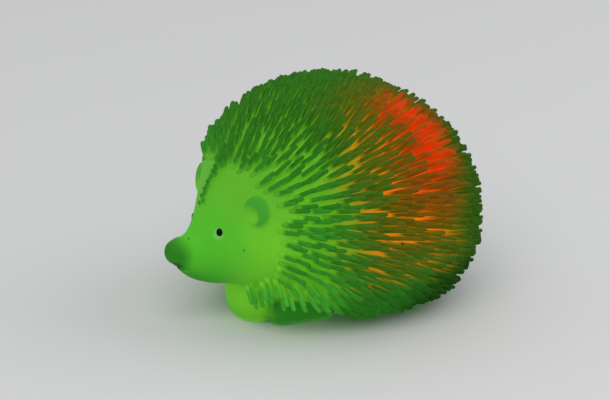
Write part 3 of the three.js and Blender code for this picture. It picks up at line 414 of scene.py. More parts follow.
def makeGlowGroup():
    # the colours of the lit rubber by place: thin wall over the lamps, and the far ends of the spines
    group, entry, out = newGroup(
        "lampsInside",
        [("Vector", "NodeSocketVector", None)],
        [("Wall Color", "NodeSocketColor"), ("Tip Color", "NodeSocketColor")],
    )
    wander = textureNode(group, "ShaderNodeTexNoise", entry.outputs["Vector"], glowSet["wander"])
    centred = vectorNode(group, "SUBTRACT", wander.outputs["Color"], glowSet["wanderMiddle"])
    shift = vectorNode(group, "SCALE", centred, scale=glowSet["wanderReach"])
    place = vectorNode(group, "ADD", entry.outputs["Vector"], shift)
    parts = splitVector(group, place)

    def placeMask(name):
        axis, start, end = glowRamps[name]
        return rampMask(group, parts[axis], start, end)

    def both(first, second):
        return mathNode(group, "MULTIPLY", first, second)

    def layered(color, layers):
        for mask, over in layers:
            color = mixColor(group, mask, color, glowSet[over])
        return color

    core = lineMask(group, place, *glowSet["coreLine"], *glowSet["core"])
    ember = lineMask(group, place, *glowSet["emberLine"], *glowSet["ember"])
    reach = lineMask(group, place, *glowSet["reachLine"], *glowSet["reach"])
    reach = both(both(reach, placeMask("beforeTail")), placeMask("aboveHem"))
    noseEnd = nearMask(group, entry.outputs["Vector"], glowSet["nosePlace"], *glowSet["nose"])
    wall = layered(glowSet["muzzle"], (
        (placeMask("cheek"), "cheek"),
        # painted shade on the upper face
        (both(placeMask("forehead"), placeMask("faceOnly")), "upperFaceShade"),
        (placeMask("rear"), "rearGap"),
        (noseEnd, "noseTip"),
        (reach, "reachGap"),
        (ember, "emberGap"),
        (core, "coreGap"),
    ))
    group.links.new(wall, out.inputs["Wall Color"])
    low = placeMask("low")
    outer = both(both(reach, placeMask("tipsAboveHem")), placeMask("tipsBeforeTail"))
    tip = layered(glowSet["frontTip"], (
        (placeMask("middle"), "middleTip"),
        (placeMask("high"), "topTip"),
        (both(low, placeMask("breast")), "breastTip"),
        (placeMask("farBack"), "rearTip"),
        # painted shade on the low spines at the rear
        (both(low, placeMask("rump")), "rumpShadeTip"),
        (outer, "reachTip"),
        (ember, "emberTip"),
        (core, "coreTip"),
    ))
    group.links.new(tip, out.inputs["Tip Color"])
    return group


speckSet = {
    # each runs a little way in from the surface
    "lines": (
        ((-0.0610, -0.0030, 0.0408), (-0.0602, -0.0018, 0.0396)),
        ((-0.0448, -0.0204, 0.0378), (-0.0438, -0.0190, 0.0374)),
        ((0.0072, -0.0596, 0.0439), (0.0105, -0.0539, 0.0415)),
    ),
    "reach": (0.0003, 0.0008),
    "color": srgb(6, 20, 4),
}


def makeSpeckGroup():
    group, entry, out = newGroup(
        "rubberSpecks", [("Vector", "NodeSocketVector", None)], [("Speck", "NodeSocketFloat")]
    )
    speck = 0.0
    for line in speckSet["lines"]:
        here = lineMask(group, entry.outputs["Vector"], *line, *speckSet["reach"])
        speck = mathNode(group, "MAXIMUM", here, speck)
    group.links.new(speck, out.inputs["Speck"])
    return group


grainGroup = makeGrainGroup()
speckGroup = makeSpeckGroup()
scuffGroup = makeScuffGroup()
glowGroup = makeGlowGroup()


# The rubber body: skin, ears, feet and nose in one moulding

skin = {
    "tipX": -0.070,
    "length": 0.127,
    "height": 0.087,
    "width": 0.100,
    "wall": 0.0032,
    "roundShare": 0.87,
    "rings": 110,
    "sides": 90,
    "voxel": 0.0008,
    "smoothing": 5,
    "smoothShare": 0.5,
    "placeAccuracy": 1e-7,
    "hollowRings": 60,
    "hollowSides": 48,
    "cavityStart": 0.15,
    "cavityEnd": 0.995,
    # how far a cutter runs on under the soles, and how much wider than the body the ground is
    "overrun": 0.01,
    "groundShare": 3,
    # how far along, then the top, the bottom and the width of the section there
    "stations": [
        (0.012, 0.420, 0.360, 0.040),
        (0.026, 0.438, 0.342, 0.080),
        (0.048, 0.462, 0.305, 0.120),
        (0.070, 0.465, 0.272, 0.120),
        (0.099, 0.502, 0.244, 0.130),
        (0.130, 0.593, 0.225, 0.169),
        (0.161, 0.692, 0.211, 0.254),
        (0.193, 0.759, 0.206, 0.362),
        (0.224, 0.808, 0.198, 0.483),
        (0.255, 0.847, 0.187, 0.590),
        (0.286, 0.879, 0.166, 0.680),
        (0.332, 0.915, 0.128, 0.780),
        (0.394, 0.949, 0.090, 0.870),
        (0.488, 0.983, 0.062, 0.960),
        (0.612, 1.000, 0.056, 1.000),
        (0.720, 0.983, 0.056, 0.980),
        (0.814, 0.927, 0.068, 0.890),
        (0.891, 0.842, 0.102, 0.740),
        (0.953, 0.723, 0.169, 0.540),
        (0.992, 0.585, 0.285, 0.280),
        (1.000, 0.480, 0.390, 0.080),
    ],
}

face = {
    # dents in the head are looked for in front of this
    "backX": -0.028,
    "noseRadius": 0.0054,
    "noseHeight": 0.0344,
    "eyeSetback": 0.0192,
    "eyeHeight": 0.0438,
    "eyeRadii": (0.00135, 0.0011, 0.00165),
    "eyeProud": 0.0010,
    "socketRadius": 0.0021,
    "socketDepth": 0.0003,
    "earSetback": 0.0295,
    "earHeight": 0.0554,
    "earRadius": 0.0062,
    "earThickness": 0.0038,
    "earTurn": 8.0,
    "dishRadius": 0.0047,
    "dishDepth": 0.0021,
    "dishShift": 0.0016,
    "dishFlatShare": 0.6,
    "mouthMiddle": (0.0046, 0.0274),
    "mouthCorner": (0.0075, 0.0270),
    "mouthShares": (-1.0, -0.7, -0.4, 0.0, 0.4, 0.7, 1.0),
    "mouthReach": 0.016,
    "mouthWidth": 0.0010,
    "mouthDepth": 0.0007,
}

feet = [
    # start, end, half width, height: the front pair, then the hind pair
    {"start": (-0.0228, 0.0134), "end": (-0.0059, 0.0158), "halfWidth": 0.0065, "height": 0.0097, "toes": 2},
    {"start": (0.0280, 0.0236), "end": (0.0370, 0.0215), "halfWidth": 0.0052, "height": 0.0080, "toes": 0},
]
chest = {"x": -0.0296, "halfLength": 0.0100, "halfWidth": 0.0145, "height": 0.0220}
# the rubber under the nose is crumbly
lips = {
    "place": (-0.0660, -0.0018, 0.0288),
    "reach": (0.0016, 0.0040),
    "crumb": 0.0007,
    "crumbScale": 900,
    "color": srgb(8, 48, 6),
}
toeSet = {
    "spacing": 0.0036,
    "width": 0.0009,
    "depth": 0.0007,
    # a line fades out this much wider, runs along this share of the foot, and stays near its tip
    "flareShare": 1.6,
    "lengthShare": 0.6,
    "heightShare": 1.2,
    "reach": 0.013,
    # shares of a foot: what lies below the floor and is cut flat, and what is drawn out between its ends
    "soleShare": 0.16,
    "roundShare": 0.08,
}

# the opening in the belly, where the light module sits
belly = {
    "x": 0.017,
    "lipBottom": 0.0029,
    "lipTop": 0.0061,
    "collarTop": 0.0126,
    "openingRadius": 0.01703,
    "pocketRadius": 0.02163,
    "collarRadius": 0.02483,
    "cutTop": 0.0435,
    "sides": 96,
}


def curveAt(rows, place):
    # a smooth curve through evenly spaced rows
    spot = min(max(place, 0.0), 1.0) * (len(rows) - 1)
    k = min(int(spot), len(rows) - 2)
    w = spot - k
    here, after = rows[k], rows[k + 1]
    before = rows[k - 1] if k > 0 else [2 * a - b for a, b in zip(here, after)]
    beyond = rows[k + 2] if k + 2 < len(rows) else [2 * b - a for a, b in zip(here, after)]
    values = []
    for p0, p1, p2, p3 in zip(before, here, after, beyond):
        slope1, slope2 = (p2 - p0) / 2, (p3 - p1) / 2
        rise = p2 - p1
        square = 3 * rise - 2 * slope1 - slope2
        cube = slope1 + slope2 - 2 * rise
        values.append(p1 + w * (slope1 + w * (square + w * cube)))
    return values


def rounded(value):
    return math.copysign(abs(value) ** skin["roundShare"], value)


def sectionAt(place):
    along, top, bottom, width = curveAt(skin["stations"], place)
    return (
        skin["tipX"] + along * skin["length"],
        top * skin["height"],
        bottom * skin["height"],
        width * skin["width"] / 2,
    )


def skinPoint(place, angle):
    x, top, bottom, halfWidth = sectionAt(place)
    level = (top + bottom) / 2 + (top - bottom) / 2 * rounded(math.cos(angle))
    return Vector((x, halfWidth * rounded(math.sin(angle)), level))


def skinNormal(place, angle):
    step = 0.002
    along = skinPoint(min(place + step, 1.0), angle) - skinPoint(place - step, angle)
    around = skinPoint(place, angle + step) - skinPoint(place, angle - step)
    return along.cross(around).normalized()


def placeAtX(x):
    low, high = 0.0, 1.0
    while high - low > skin["placeAccuracy"]:
        middle = (low + high) / 2
        low, high = (middle, high) if sectionAt(middle)[0] < x else (low, middle)
    return low


def angleAtHeight(place, height):
    top, bottom = sectionAt(place)[1:3]
    level = (2 * height - top - bottom) / (top - bottom)
    cosine = math.copysign(abs(level) ** (1 / skin["roundShare"]), level)
    return math.acos(min(max(cosine, -1.0), 1.0))


def surfaceFrame(setback, height, side):
    place = placeAtX(skin["tipX"] + setback)
    angle = angleAtHeight(place, height)
    point, normal = skinPoint(place, angle), skinNormal(place, angle)
    point.y *= side
    normal.y *= side
    return point, normal


def loftMesh(name, rings):
    points = [point for ring in rings for point in ring]
    sides = len(rings[0])
    quads = [
        (r * sides + k, r * sides + (k + 1) % sides, (r + 1) * sides + (k + 1) % sides, (r + 1) * sides + k)
        for r in range(len(rings) - 1)
        for k in range(sides)
    ]
    last = (len(rings) - 1) * sides
    caps = [tuple(range(sides))[::-1], tuple(range(last, last + sides))]
    mesh = bpy.data.meshes.new(name)
    mesh.from_pydata(points, [], quads + caps)
    return mesh


def turnedMesh(name, profile, x, sides):
    # a profile of (radius, height) turned about an upright axis
    rings = [
        [(x + r * math.cos(a), r * math.sin(a), z) for a in (2 * math.pi * k / sides for k in range(sides))]
        for r, z in profile
    ]
    return loftMesh(name, rings)


def lumpMesh(name, placeOf):
    # a round lump: each point of a unit ball goes where placeOf puts it
    mesh = bpy.data.meshes.new(name)
    shape = bmesh.new()
    bmesh.ops.create_icosphere(shape, subdivisions=4, radius=1.0)
    for vertex in shape.verts:
        vertex.co = placeOf(vertex.co.copy())
    shape.to_mesh(mesh)
    shape.free()
    return mesh


def roundedLump(name, radii, place, axes):
    # an ellipsoid with its own axes
    def placeOf(local):
        return Vector(place) + sum((axis * r * c for axis, r, c in zip(axes, radii, local)), Vector())

    return lumpMesh(name, placeOf)


def soleRise(height):
    # half the height of a lump that stands with a little of it below the floor
    return (height + height * toeSet["soleShare"]) / 2


def footLine(foot, side):
    start = Vector((foot["start"][0], side * foot["start"][1], 0))
    end = Vector((foot["end"][0], side * foot["end"][1], 0))
    along = (end - start).normalized()
    return start, end, along, Vector((-along.y, along.x, 0))


def footMesh(name, foot, side):
    start, end, along, across = footLine(foot, side)
    middle = (start + end) / 2
    halfLength = (end - start).length / 2
    rise = soleRise(foot["height"])

    def placeOf(local):
        a, b, c = local
        reach = a * foot["halfWidth"]
        reach += math.copysign(halfLength, a) * min(1.0, abs(a) / toeSet["roundShare"])
        at = middle + along * reach + across * b * foot["halfWidth"]
        at.z = rise * c + foot["height"] - rise
        return at

    return lumpMesh(name, placeOf)


def joinMeshes(name, meshes):
    joined = bmesh.new()
    for mesh in meshes:
        joined.from_mesh(mesh)
        bpy.data.meshes.remove(mesh)
    mesh = bpy.data.meshes.new(name)
    joined.to_mesh(mesh)
    joined.free()
    return linkMesh(name, mesh)


def applyModifiers(piece):
    bpy.context.view_layer.update()
    ready = bpy.data.meshes.new_from_object(piece.evaluated_get(bpy.context.evaluated_depsgraph_get()))
    piece.modifiers.clear()
    old = piece.data
    piece.data = ready
    bpy.data.meshes.remove(old)
    ready.name = piece.name


def cutAway(piece, cutter, operation="DIFFERENCE"):
    step = piece.modifiers.new("cut", "BOOLEAN")
    step.operation = operation
    step.solver = "EXACT"
    step.object = cutter
    applyModifiers(piece)
    mesh = cutter.data
    bpy.data.objects.remove(cutter)
    bpy.data.meshes.remove(mesh)


def earFrame(side):
    point, normal = surfaceFrame(face["earSetback"], face["earHeight"], side)
    turn = math.radians(side * face["earTurn"])
    facing = Vector((
        normal.x * math.cos(turn) - normal.y * math.sin(turn),
        normal.x * math.sin(turn) + normal.y * math.cos(turn),
        normal.z,
    ))
    forwards = (facing.cross(Vector((0, 0, 1))) * -side).normalized()
    return point, facing, forwards, forwards.cross(facing) * -side


def pressIn(vertices, normalOf, distanceOf, width, depth):
    # a smooth dent: deepest where the distance is 0, gone at width
    for vertex in vertices:
        share = distanceOf(vertex.co) / width
        if share < 1.0:
            vertex.co -= normalOf(vertex) * depth * (1 - share * share) ** 2


def lineDistance(point, start, end):
    line = end - start
    share = min(max((point - start).dot(line) / line.length_squared, 0.0), 1.0)
    return (point - start - line * share).length


def mouthPoints():
    (setback, height), (backCorner, topCorner) = face["mouthMiddle"], face["mouthCorner"]
    points = []
    for share in face["mouthShares"]:
        at = surfaceFrame(
            setback + (backCorner - setback) * abs(share),
            height + (topCorner - height) * share * share,
            math.copysign(1, share),
        )[0]
        if share == 0.0:
            at.y = 0.0
        points.append(at)
    return points


def toeLines(foot, side):
    start, _, along, across = footLine(foot, side)
    tip = start - along * foot["halfWidth"]
    top = Vector((0, 0, foot["height"]))
    lines = []
    for k in range(foot["toes"]):
        base = tip + across * (k - (foot["toes"] - 1) / 2) * toeSet["spacing"]
        lines.append((base, base + along * foot["halfWidth"] * toeSet["lengthShare"] + top))
    return lines


def skinLumps():
    rings = [
        [skinPoint(k / skin["rings"], 2 * math.pi * s / skin["sides"]) for s in range(skin["sides"])]
        for k in range(skin["rings"] + 1)
    ]
    lumps = [loftMesh("outer", rings)]
    noseCentre = (skin["tipX"] + face["noseRadius"], 0, face["noseHeight"])
    axes = (Vector((1, 0, 0)), Vector((0, 1, 0)), Vector((0, 0, 1)))
    lumps.append(roundedLump("nose", (face["noseRadius"],) * 3, noseCentre, axes))
    for side in (1, -1):
        point, facing, forwards, upward = earFrame(side)
        radii = (face["earRadius"], face["earRadius"], face["earThickness"] / 2)
        lumps.append(roundedLump("ear", radii, point, (forwards, upward, facing)))
    for foot in feet:
        for side in (1, -1):
            lumps.append(footMesh("foot", foot, side))
    rise = soleRise(chest["height"])
    radii = (chest["halfLength"], chest["halfWidth"], rise)
    lumps.append(roundedLump("chest", radii, (chest["x"], 0, chest["height"] - rise), axes))
    collar = [(belly["collarRadius"], belly["lipBottom"]), (belly["collarRadius"], belly["collarTop"])]
    lumps.append(turnedMesh("collar", collar, belly["x"], belly["sides"]))
    return lumps


def meltTogether(body):
    remesh = body.modifiers.new("oneMoulding", "REMESH")
    remesh.mode = "VOXEL"
    remesh.voxel_size = skin["voxel"]
    smooth = body.modifiers.new("softSeams", "SMOOTH")
    smooth.factor = skin["smoothShare"]
    smooth.iterations = skin["smoothing"]
    applyModifiers(body)


def ownNormal(vertex):
    return vertex.normal


def dishEar(head, side):
    point, facing, forwards, upward = earFrame(side)
    centre = point + facing * face["earThickness"] / 2
    centre += (forwards - upward) * face["dishShift"]
    near = [v for v in head if (v.co - centre).length < 2 * face["dishRadius"]]

    def away(at):
        # the way into the ear counts for less than the way across it
        return ((at - centre) - facing * face["dishFlatShare"] * (at - centre).dot(facing)).length

    pressIn(near, lambda vertex: facing, away, face["dishRadius"], face["dishDepth"])


def pressDetails(body):
    # dished ears, eye sockets, the mouth line, crumbs under the nose and lines between the toes
    shape = bmesh.new()
    shape.from_mesh(body.data)
    shape.normal_update()
    head = [vertex for vertex in shape.verts if vertex.co.x < face["backX"]]
    for side in (1, -1):
        dishEar(head, side)
        eye = surfaceFrame(face["eyeSetback"], face["eyeHeight"], side)[0]
        pressIn(head, ownNormal, lambda at: (at - eye).length, face["socketRadius"], face["socketDepth"])
    mouth = mouthPoints()
    near = [vertex for vertex in head if vertex.co.x < skin["tipX"] + face["mouthReach"]]
    pressIn(
        near,
        ownNormal,
        lambda at: min(lineDistance(at, a, b) for a, b in zip(mouth, mouth[1:])),
        face["mouthWidth"],
        face["mouthDepth"],
    )
    shape.normal_update()
    for vertex in near:
        away = (vertex.co - Vector(lips["place"])).length / lips["reach"][1]
        if away < 1:
            crumb = noise.noise(vertex.co * lips["crumbScale"]) * lips["crumb"]
            vertex.co += vertex.normal * crumb * (1 - away)
    for foot in feet:
        top = foot["height"] * toeSet["heightShare"]
        for start, end in toeLines(foot, 1) + toeLines(foot, -1):
            low = [v for v in shape.verts if v.co.z < top and (v.co - start).length < toeSet["reach"]]
            pressIn(
                low,
                ownNormal,
                lambda at: lineDistance(at, start, end),
                toeSet["width"] * toeSet["flareShare"],
                toeSet["depth"],
            )
    shape.to_mesh(body.data)
    shape.free()


def groundMesh():
    mesh = bpy.data.meshes.new("ground")
    block = bmesh.new()
    bmesh.ops.create_cube(block, size=1.0)
    deep = skin["width"]
    wide = deep * skin["groundShare"]
    for vertex in block.verts:
        vertex.co = (vertex.co.x * wide, vertex.co.y * wide, (vertex.co.z - 0.5) * deep)
    block.to_mesh(mesh)
    block.free()
    return mesh


def hollowOut(body):
    # the cavity leaves an even wall, a collar round the opening and a stepped well for the light module
    places = [k / skin["hollowRings"] for k in range(skin["hollowRings"] + 1)]
    angles = [2 * math.pi * s / skin["hollowSides"] for s in range(skin["hollowSides"])]
    hollow = [
        [skinPoint(place, angle) - skinNormal(place, angle) * skin["wall"] for angle in angles]
        for place in places
        if skin["cavityStart"] < curveAt(skin["stations"], place)[0] < skin["cavityEnd"]
    ]
    cavity = linkMesh("cavity", loftMesh("cavity", hollow))
    collar = [(belly["collarRadius"], -skin["overrun"]), (belly["collarRadius"], belly["collarTop"])]
    ring = turnedMesh("collarRoom", collar, belly["x"], belly["sides"])
    cutAway(cavity, linkMesh("collarRoom", ring))
    profile = [
        (belly["pocketRadius"], -skin["overrun"]),
        (belly["pocketRadius"], belly["lipBottom"]),
        (belly["openingRadius"], belly["lipBottom"]),
        (belly["openingRadius"], belly["lipTop"]),
        (belly["pocketRadius"], belly["lipTop"]),
        (belly["pocketRadius"], belly["cutTop"]),
    ]
    well = turnedMesh("moduleWell", profile, belly["x"], belly["sides"])
    cutAway(cavity, linkMesh("moduleWell", well), "UNION")
    cutAway(body, linkMesh("ground", groundMesh()))
    cutAway(body, cavity)


def makeSkin():
    body = joinMeshes("rubberSkin", skinLumps())
    meltTogether(body)
    pressDetails(body)
    hollowOut(body)
    body.data.shade_smooth()
    return body


skinFinish = {
    "shader": {"Roughness": 0.55, "Specular IOR Level": 0.06, "Emission Strength": litSet["glow"]},
    "grain": {"Grain Scale": 900.0, "Mottle Scale": 60.0},
    # painted shade: faces that look down are dimmer, and most of all under the snout
    "shadeFacing": (0.20, -0.70),
    "shadeUnderSnout": (-0.040, -0.054),
    "shadeShare": 0.3,
    "shadeSnoutShare": 0.5,
    "shadeColor": srgb(42, 122, 34),
    # painted shade on the rims of the ears, where thick rubber passes less light
    "earDepth": 0.0012,
    "lobe": (0.0053, 0.0069),
    "openingShift": 0.0024,
    "opening": (0.0030, 0.0052),
    "rimShadeShare": 0.9,
    "rimShadeColor": srgb(56, 146, 40),
    # a pale patch round each eye, its middle a little in front of the eye and below it
    "patchShift": (0.0010, 0, 0.0009),
    "patch": (0.0014, 0.0034),
    "patchShare": 0.32,
    "patchColor": srgb(138, 204, 116),
    "crumbNoise": {"Scale": 1100.0, "Detail": 2.0},
    "crumbRamp": (0.40, 0.52),
    "crumbShare": 0.9,
    "crumbHeight": 3.0,
    # painted shade low down behind the chest, over the feet, which are thick too
    "feetTop": (0.0130, 0.0085),
    "feetFront": (-0.0330, -0.0270),
    "feetShadeColor": srgb(40, 118, 28),
    "mottleRamp": (0.3, 0.75),
    "mottleShare": 0.12,
    "mottleColor": srgb(66, 150, 30),
    "speckShare": 0.45,
    "bump": (0.12, 0.0002),
}


def lightRubber(tree, shader, color):
    # the rubber glows in its colour, and shows the same colour, held down, under the room's light
    tree.links.new(mixColor(tree, litSet["shade"], color, litSet["black"]), shader.inputs["Base Color"])
    tree.links.new(color, shader.inputs["Emission Color"])


def makeSkinMaterial():
    values = skinFinish
    material, tree, shader, vector = newMaterial("glowingSkin", values["shader"])
    glow = placeGroup(tree, glowGroup, vector)
    grain = placeGroup(tree, grainGroup, vector, values["grain"])
    looking = splitVector(tree, addNode(tree, "ShaderNodeNewGeometry").outputs["Normal"])
    parts = splitVector(tree, vector)
    # painted shade on faces that look down, most of all under the snout
    under = rampMask(tree, looking["Z"], *values["shadeFacing"])
    snout = rampMask(tree, parts["X"], *values["shadeUnderSnout"])
    share = mathNode(tree, "MULTIPLY_ADD", snout, values["shadeSnoutShare"], values["shadeShare"])
    color = tintColor(tree, under, share, glow.outputs["Wall Color"], values["shadeColor"])
    for side in (1, -1):
        point, facing, forwards, upward = earFrame(side)
        centre = point + facing * values["earDepth"]
        lobe = nearMask(tree, vector, centre, *values["lobe"])
        opening = centre + (forwards - upward) * values["openingShift"]
        inside = nearMask(tree, vector, opening, *values["opening"])
        # painted shade on the rim of each ear
        rimShade = mathNode(tree, "SUBTRACT", lobe, inside, clamp=True)
        color = tintColor(tree, rimShade, values["rimShadeShare"], color, values["rimShadeColor"])
        eye = surfaceFrame(face["eyeSetback"], face["eyeHeight"], side)[0]
        patch = nearMask(tree, vector, eye - Vector(values["patchShift"]), *values["patch"])
        color = tintColor(tree, patch, values["patchShare"], color, values["patchColor"])
    crumbs = textureNode(tree, "ShaderNodeTexNoise", vector, values["crumbNoise"])
    crumbly = nearMask(tree, vector, lips["place"], *lips["reach"])
    rough = mathNode(tree, "MULTIPLY", crumbly, rampMask(tree, crumbs.outputs["Fac"], *values["crumbRamp"]))
    color = tintColor(tree, rough, values["crumbShare"], color, lips["color"])
    # painted shade low down on the feet
    low = rampMask(tree, parts["Z"], *values["feetTop"])
    behind = rampMask(tree, parts["X"], *values["feetFront"])
    color = tintColor(tree, low, behind, color, values["feetShadeColor"])
    mottle = rampMask(tree, grain.outputs["Mottle"], *values["mottleRamp"])
    color = tintColor(tree, mottle, values["mottleShare"], color, values["mottleColor"])
    specks = placeGroup(tree, speckGroup, vector)
    color = tintColor(tree, specks.outputs["Speck"], values["speckShare"], color, speckSet["color"])
    lightRubber(tree, shader, color)
    height = mathNode(tree, "MULTIPLY_ADD", rough, values["crumbHeight"], grain.outputs["Height"])
    bumpFrom(tree, shader, height, *values["bump"])
    return material


rubberSkin = makeSkin()
rubberSkin.data.materials.clear()
rubberSkin.data.materials.append(makeSkinMaterial())
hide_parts("body_skin")
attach(rubberSkin, "hedgehog")
print("rubber skin moulded:", len(rubberSkin.data.polygons), "faces")


# The coat of blunt spines

coat = {
    # height, then how far forward the coat starts there
    "hairline": [
        (0.010, -0.0385),
        (0.018, -0.0405),
        (0.027, -0.0370),
        (0.035, -0.0345),
        (0.045, -0.0355),
        (0.055, -0.0335),
        (0.063, -0.0375),
        (0.067, -0.0420),
        (0.072, -0.0452),
        (0.087, -0.0460),
    ],
    # place from nose to tail, then how low spines are rooted there, and how much lower they may hang
    "hem": [
        (-0.042, 0.0165),
        (-0.036, 0.0176),
        (-0.028, 0.0188),
        (-0.014, 0.0144),
        (-0.009, 0.0092),
        (0.010, 0.0080),
        (0.020, 0.0080),
    ],
    "hemDrop": 0.0062,
    # the chest stays bare within this half width, below this height and in front of this place
    "chestHalfWidth": 0.011,
    "chestHeight": 0.024,
    "chestBackX": -0.002,
    # spacing near the face and further back, and the places between which it changes
    "spinePitch": (0.0041, 0.0035),
    "rowPitch": (0.0039, 0.0034),
    "spacingEnds": (-0.036, -0.005),
    # rows are stepped off from the start place back, along a line this many degrees down from the ridge
    "startPlace": 0.2,
    "rowMeridian": 60.0,
    "walkSteps": 6000,
    # no root lies further back than this
    "lastPlace": 0.9995,
    # where the first spine of a row stands, and how far every second row is shifted, in spine pitches
    "rowStart": 0.15,
    "rowStagger": 0.5,
    "samples": 320,
    "placeJitter": 0.0011,
    "leanJitter": 0.10,
    "lengthJitter": 0.08,
    "length": 0.0134,
    "frontLength": 0.0082,
    "growOver": 0.034,
    # share of the length left on the back, and of the lean lost where the coat hangs over the chest
    "backShare": 0.85,
    "hang": 0.7,
    # how far up the skin looks where the back begins, and over how much more it is fully the back
    "backFacing": (0.2, 0.7),
    # the coat hangs below this height and before this place, fully so after these distances
    "hangTop": 0.031,
    "hangRise": 0.010,
    "hangBackX": -0.014,
    "hangRun": 0.014,
    "rootWidth": 0.0022,
    "tipWidth": 0.0018,
    "sink": 0.0016,
    # rings of a spine above the skin, as shares of its length and of its radius there
    "ringShares": ((0.0, 1.0), (0.34, 1.0), (0.68, 1.0), (0.93, 1.0), (0.985, 0.72)),
    # share of the angle to the tail: on the back, and on the sides
    "sweepTop": 0.34,
    "sweepSide": 0.46,
    "bend": 0.14,
    "sides": 7,
    "seed": 21,
}

brow = {
    "count": 22,
    "frontX": -0.0530,
    "backX": -0.0405,
    "length": 0.0016,
    "backLength": 0.0052,
    "width": 0.0014,
    "rootShare": 1.15,
    "lean": 0.55,
    # the line zigzags down the forehead, and is three stubs wide from this share of it back
    "zigzag": 0.2,
    "wideFromShare": 0.7,
    "jitter": 0.2,
    "spread": 0.0019,
    "leastHalfWidth": 0.004,
}


def alongTable(rows, value):
    if value <= rows[0][0]:
        return rows[0][1]
    for (x0, y0), (x1, y1) in zip(rows, rows[1:]):
        if value <= x1:
            return y0 + (y1 - y0) * (value - x0) / (x1 - x0)
    return rows[-1][1]


def insideCoat(point):
    narrow = abs(point.y) < coat["chestHalfWidth"]
    onChest = narrow and point.z < coat["chestHeight"] and point.x < coat["chestBackX"]
    behindFace = point.x > alongTable(coat["hairline"], point.z)
    return behindFace and not onChest and point.z > alongTable(coat["hem"], point.x)


def spineLengthAt(point):
    behind = max(point.x - alongTable(coat["hairline"], point.z), 0.0)
    return coat["frontLength"] + (coat["length"] - coat["frontLength"]) * min(behind / coat["growOver"], 1)


def spineDirection(point, normal, length, lean):
    towardsTail = (Vector((1, 0, 0)) - normal * normal.x).normalized()
    direction = (normal * math.cos(lean) + towardsTail * math.sin(lean)).normalized()
    steepest = (alongTable(coat["hem"], point.x) - coat["hemDrop"] - point.z) / length
    if direction.z < steepest:
        level = math.sqrt((1 - steepest**2) / (direction.x**2 + direction.y**2))
        direction = Vector((direction.x * level, direction.y * level, steepest))
    return direction


def clipped(value):
    return min(max(value, 0.0), 1.0)


def spacingAt(x, pitches):
    start, end = coat["spacingEnds"]
    return pitches[0] + (pitches[1] - pitches[0]) * clipped((x - start) / (end - start))


def spineRows():
    # places at an even pitch along one line from nose to tail
    meridian = math.radians(coat["rowMeridian"])
    steps = coat["walkSteps"]
    rows, walked = [], coat["rowPitch"][0]
    last = skinPoint(coat["startPlace"], meridian)
    for k in range(int(steps * coat["startPlace"]), steps):
        here = skinPoint(k / steps, meridian)
        walked += (here - last).length
        last = here
        if walked >= spacingAt(here.x, coat["rowPitch"]):
            rows.append(k / steps)
            walked = 0.0
    return rows


def spineRoots(rng):
    # each row goes round the whole body, and every second one is staggered
    roots = []
    for row, place in enumerate(spineRows()):
        ring = [(2 * math.pi * k / coat["samples"]) for k in range(coat["samples"] + 1)]
        points = [skinPoint(place, angle) for angle in ring]
        lengths = [(b - a).length for a, b in zip(points, points[1:])]
        total = sum(lengths)
        count = max(int(total / spacingAt(points[0].x, coat["spinePitch"])), 1)
        pitch = total / count
        due = pitch * (coat["rowStagger"] * (row % 2) + coat["rowStart"])
        arc = 0.0
        for k, gap in enumerate(lengths):
            while due <= arc + gap:
                share = (due - arc) / gap
                shiftAlong = rng.uniform(-1, 1) * coat["placeJitter"] / skin["length"]
                angle = ring[k] + (ring[k + 1] - ring[k]) * share
                angle += rng.uniform(-1, 1) * coat["placeJitter"] * 2 * math.pi / total
                at = min(place + shiftAlong, coat["lastPlace"])
                point = skinPoint(at, angle)
                if insideCoat(point):
                    roots.append((point, skinNormal(at, angle)))
                due += pitch
            arc += gap
    return roots


def addSpine(store, point, normal, length, lean, widths, rng):
    # a tapered rod with a blunt rounded end, bent a little further back towards its tip
    direction = spineDirection(point, normal, length, lean)
    tailwards = (Vector((1, 0, 0)) - direction * direction.x).normalized()
    wander = Vector((rng.uniform(-1, 1), rng.uniform(-1, 1), rng.uniform(-1, 1))) * coat["leanJitter"]
    direction = (direction + wander).normalized()
    side = direction.cross(tailwards).normalized()
    up = side.cross(direction)
    bend = coat["bend"] * length
    tone = rng.random()
    first = len(store["points"])
    sides = coat["sides"]
    rings = [(-coat["sink"] / length, 1.0), *coat["ringShares"]]
    for share, radiusShare in rings:
        taper = clipped(share)
        radius = (widths[0] + (widths[1] - widths[0]) * taper) / 2 * radiusShare
        centre = point + direction * length * share + tailwards * bend * taper * taper
        for k in range(sides):
            a = 2 * math.pi * k / sides
            store["points"].append(centre + (side * math.cos(a) + up * math.sin(a)) * radius)
            store["tipShare"].append(taper)
            store["tone"].append(tone)
    for r in range(len(rings) - 1):
        for k in range(sides):
            n = (k + 1) % sides
            a, b = first + r * sides, first + (r + 1) * sides
            store["faces"].append((a + k, a + n, b + n, b + k))
    last = first + (len(rings) - 1) * sides
    store["faces"].append(tuple(range(last, last + sides)))
    store["faces"].append(tuple(range(first, first + sides))[::-1])


def meshFromStore(name, store):
    mesh = bpy.data.meshes.new(name)
    mesh.from_pydata(store["points"], [], store["faces"])
    for label in ("tipShare", "tone"):
        layer = mesh.attributes.new(label, "FLOAT", "POINT")
        layer.data.foreach_set("value", store[label])
    mesh.polygons.foreach_set("use_smooth", [len(face) == 4 for face in store["faces"]])
    return linkMesh(name, mesh)


def newStore():
    return {"points": [], "faces": [], "tipShare": [], "tone": []}


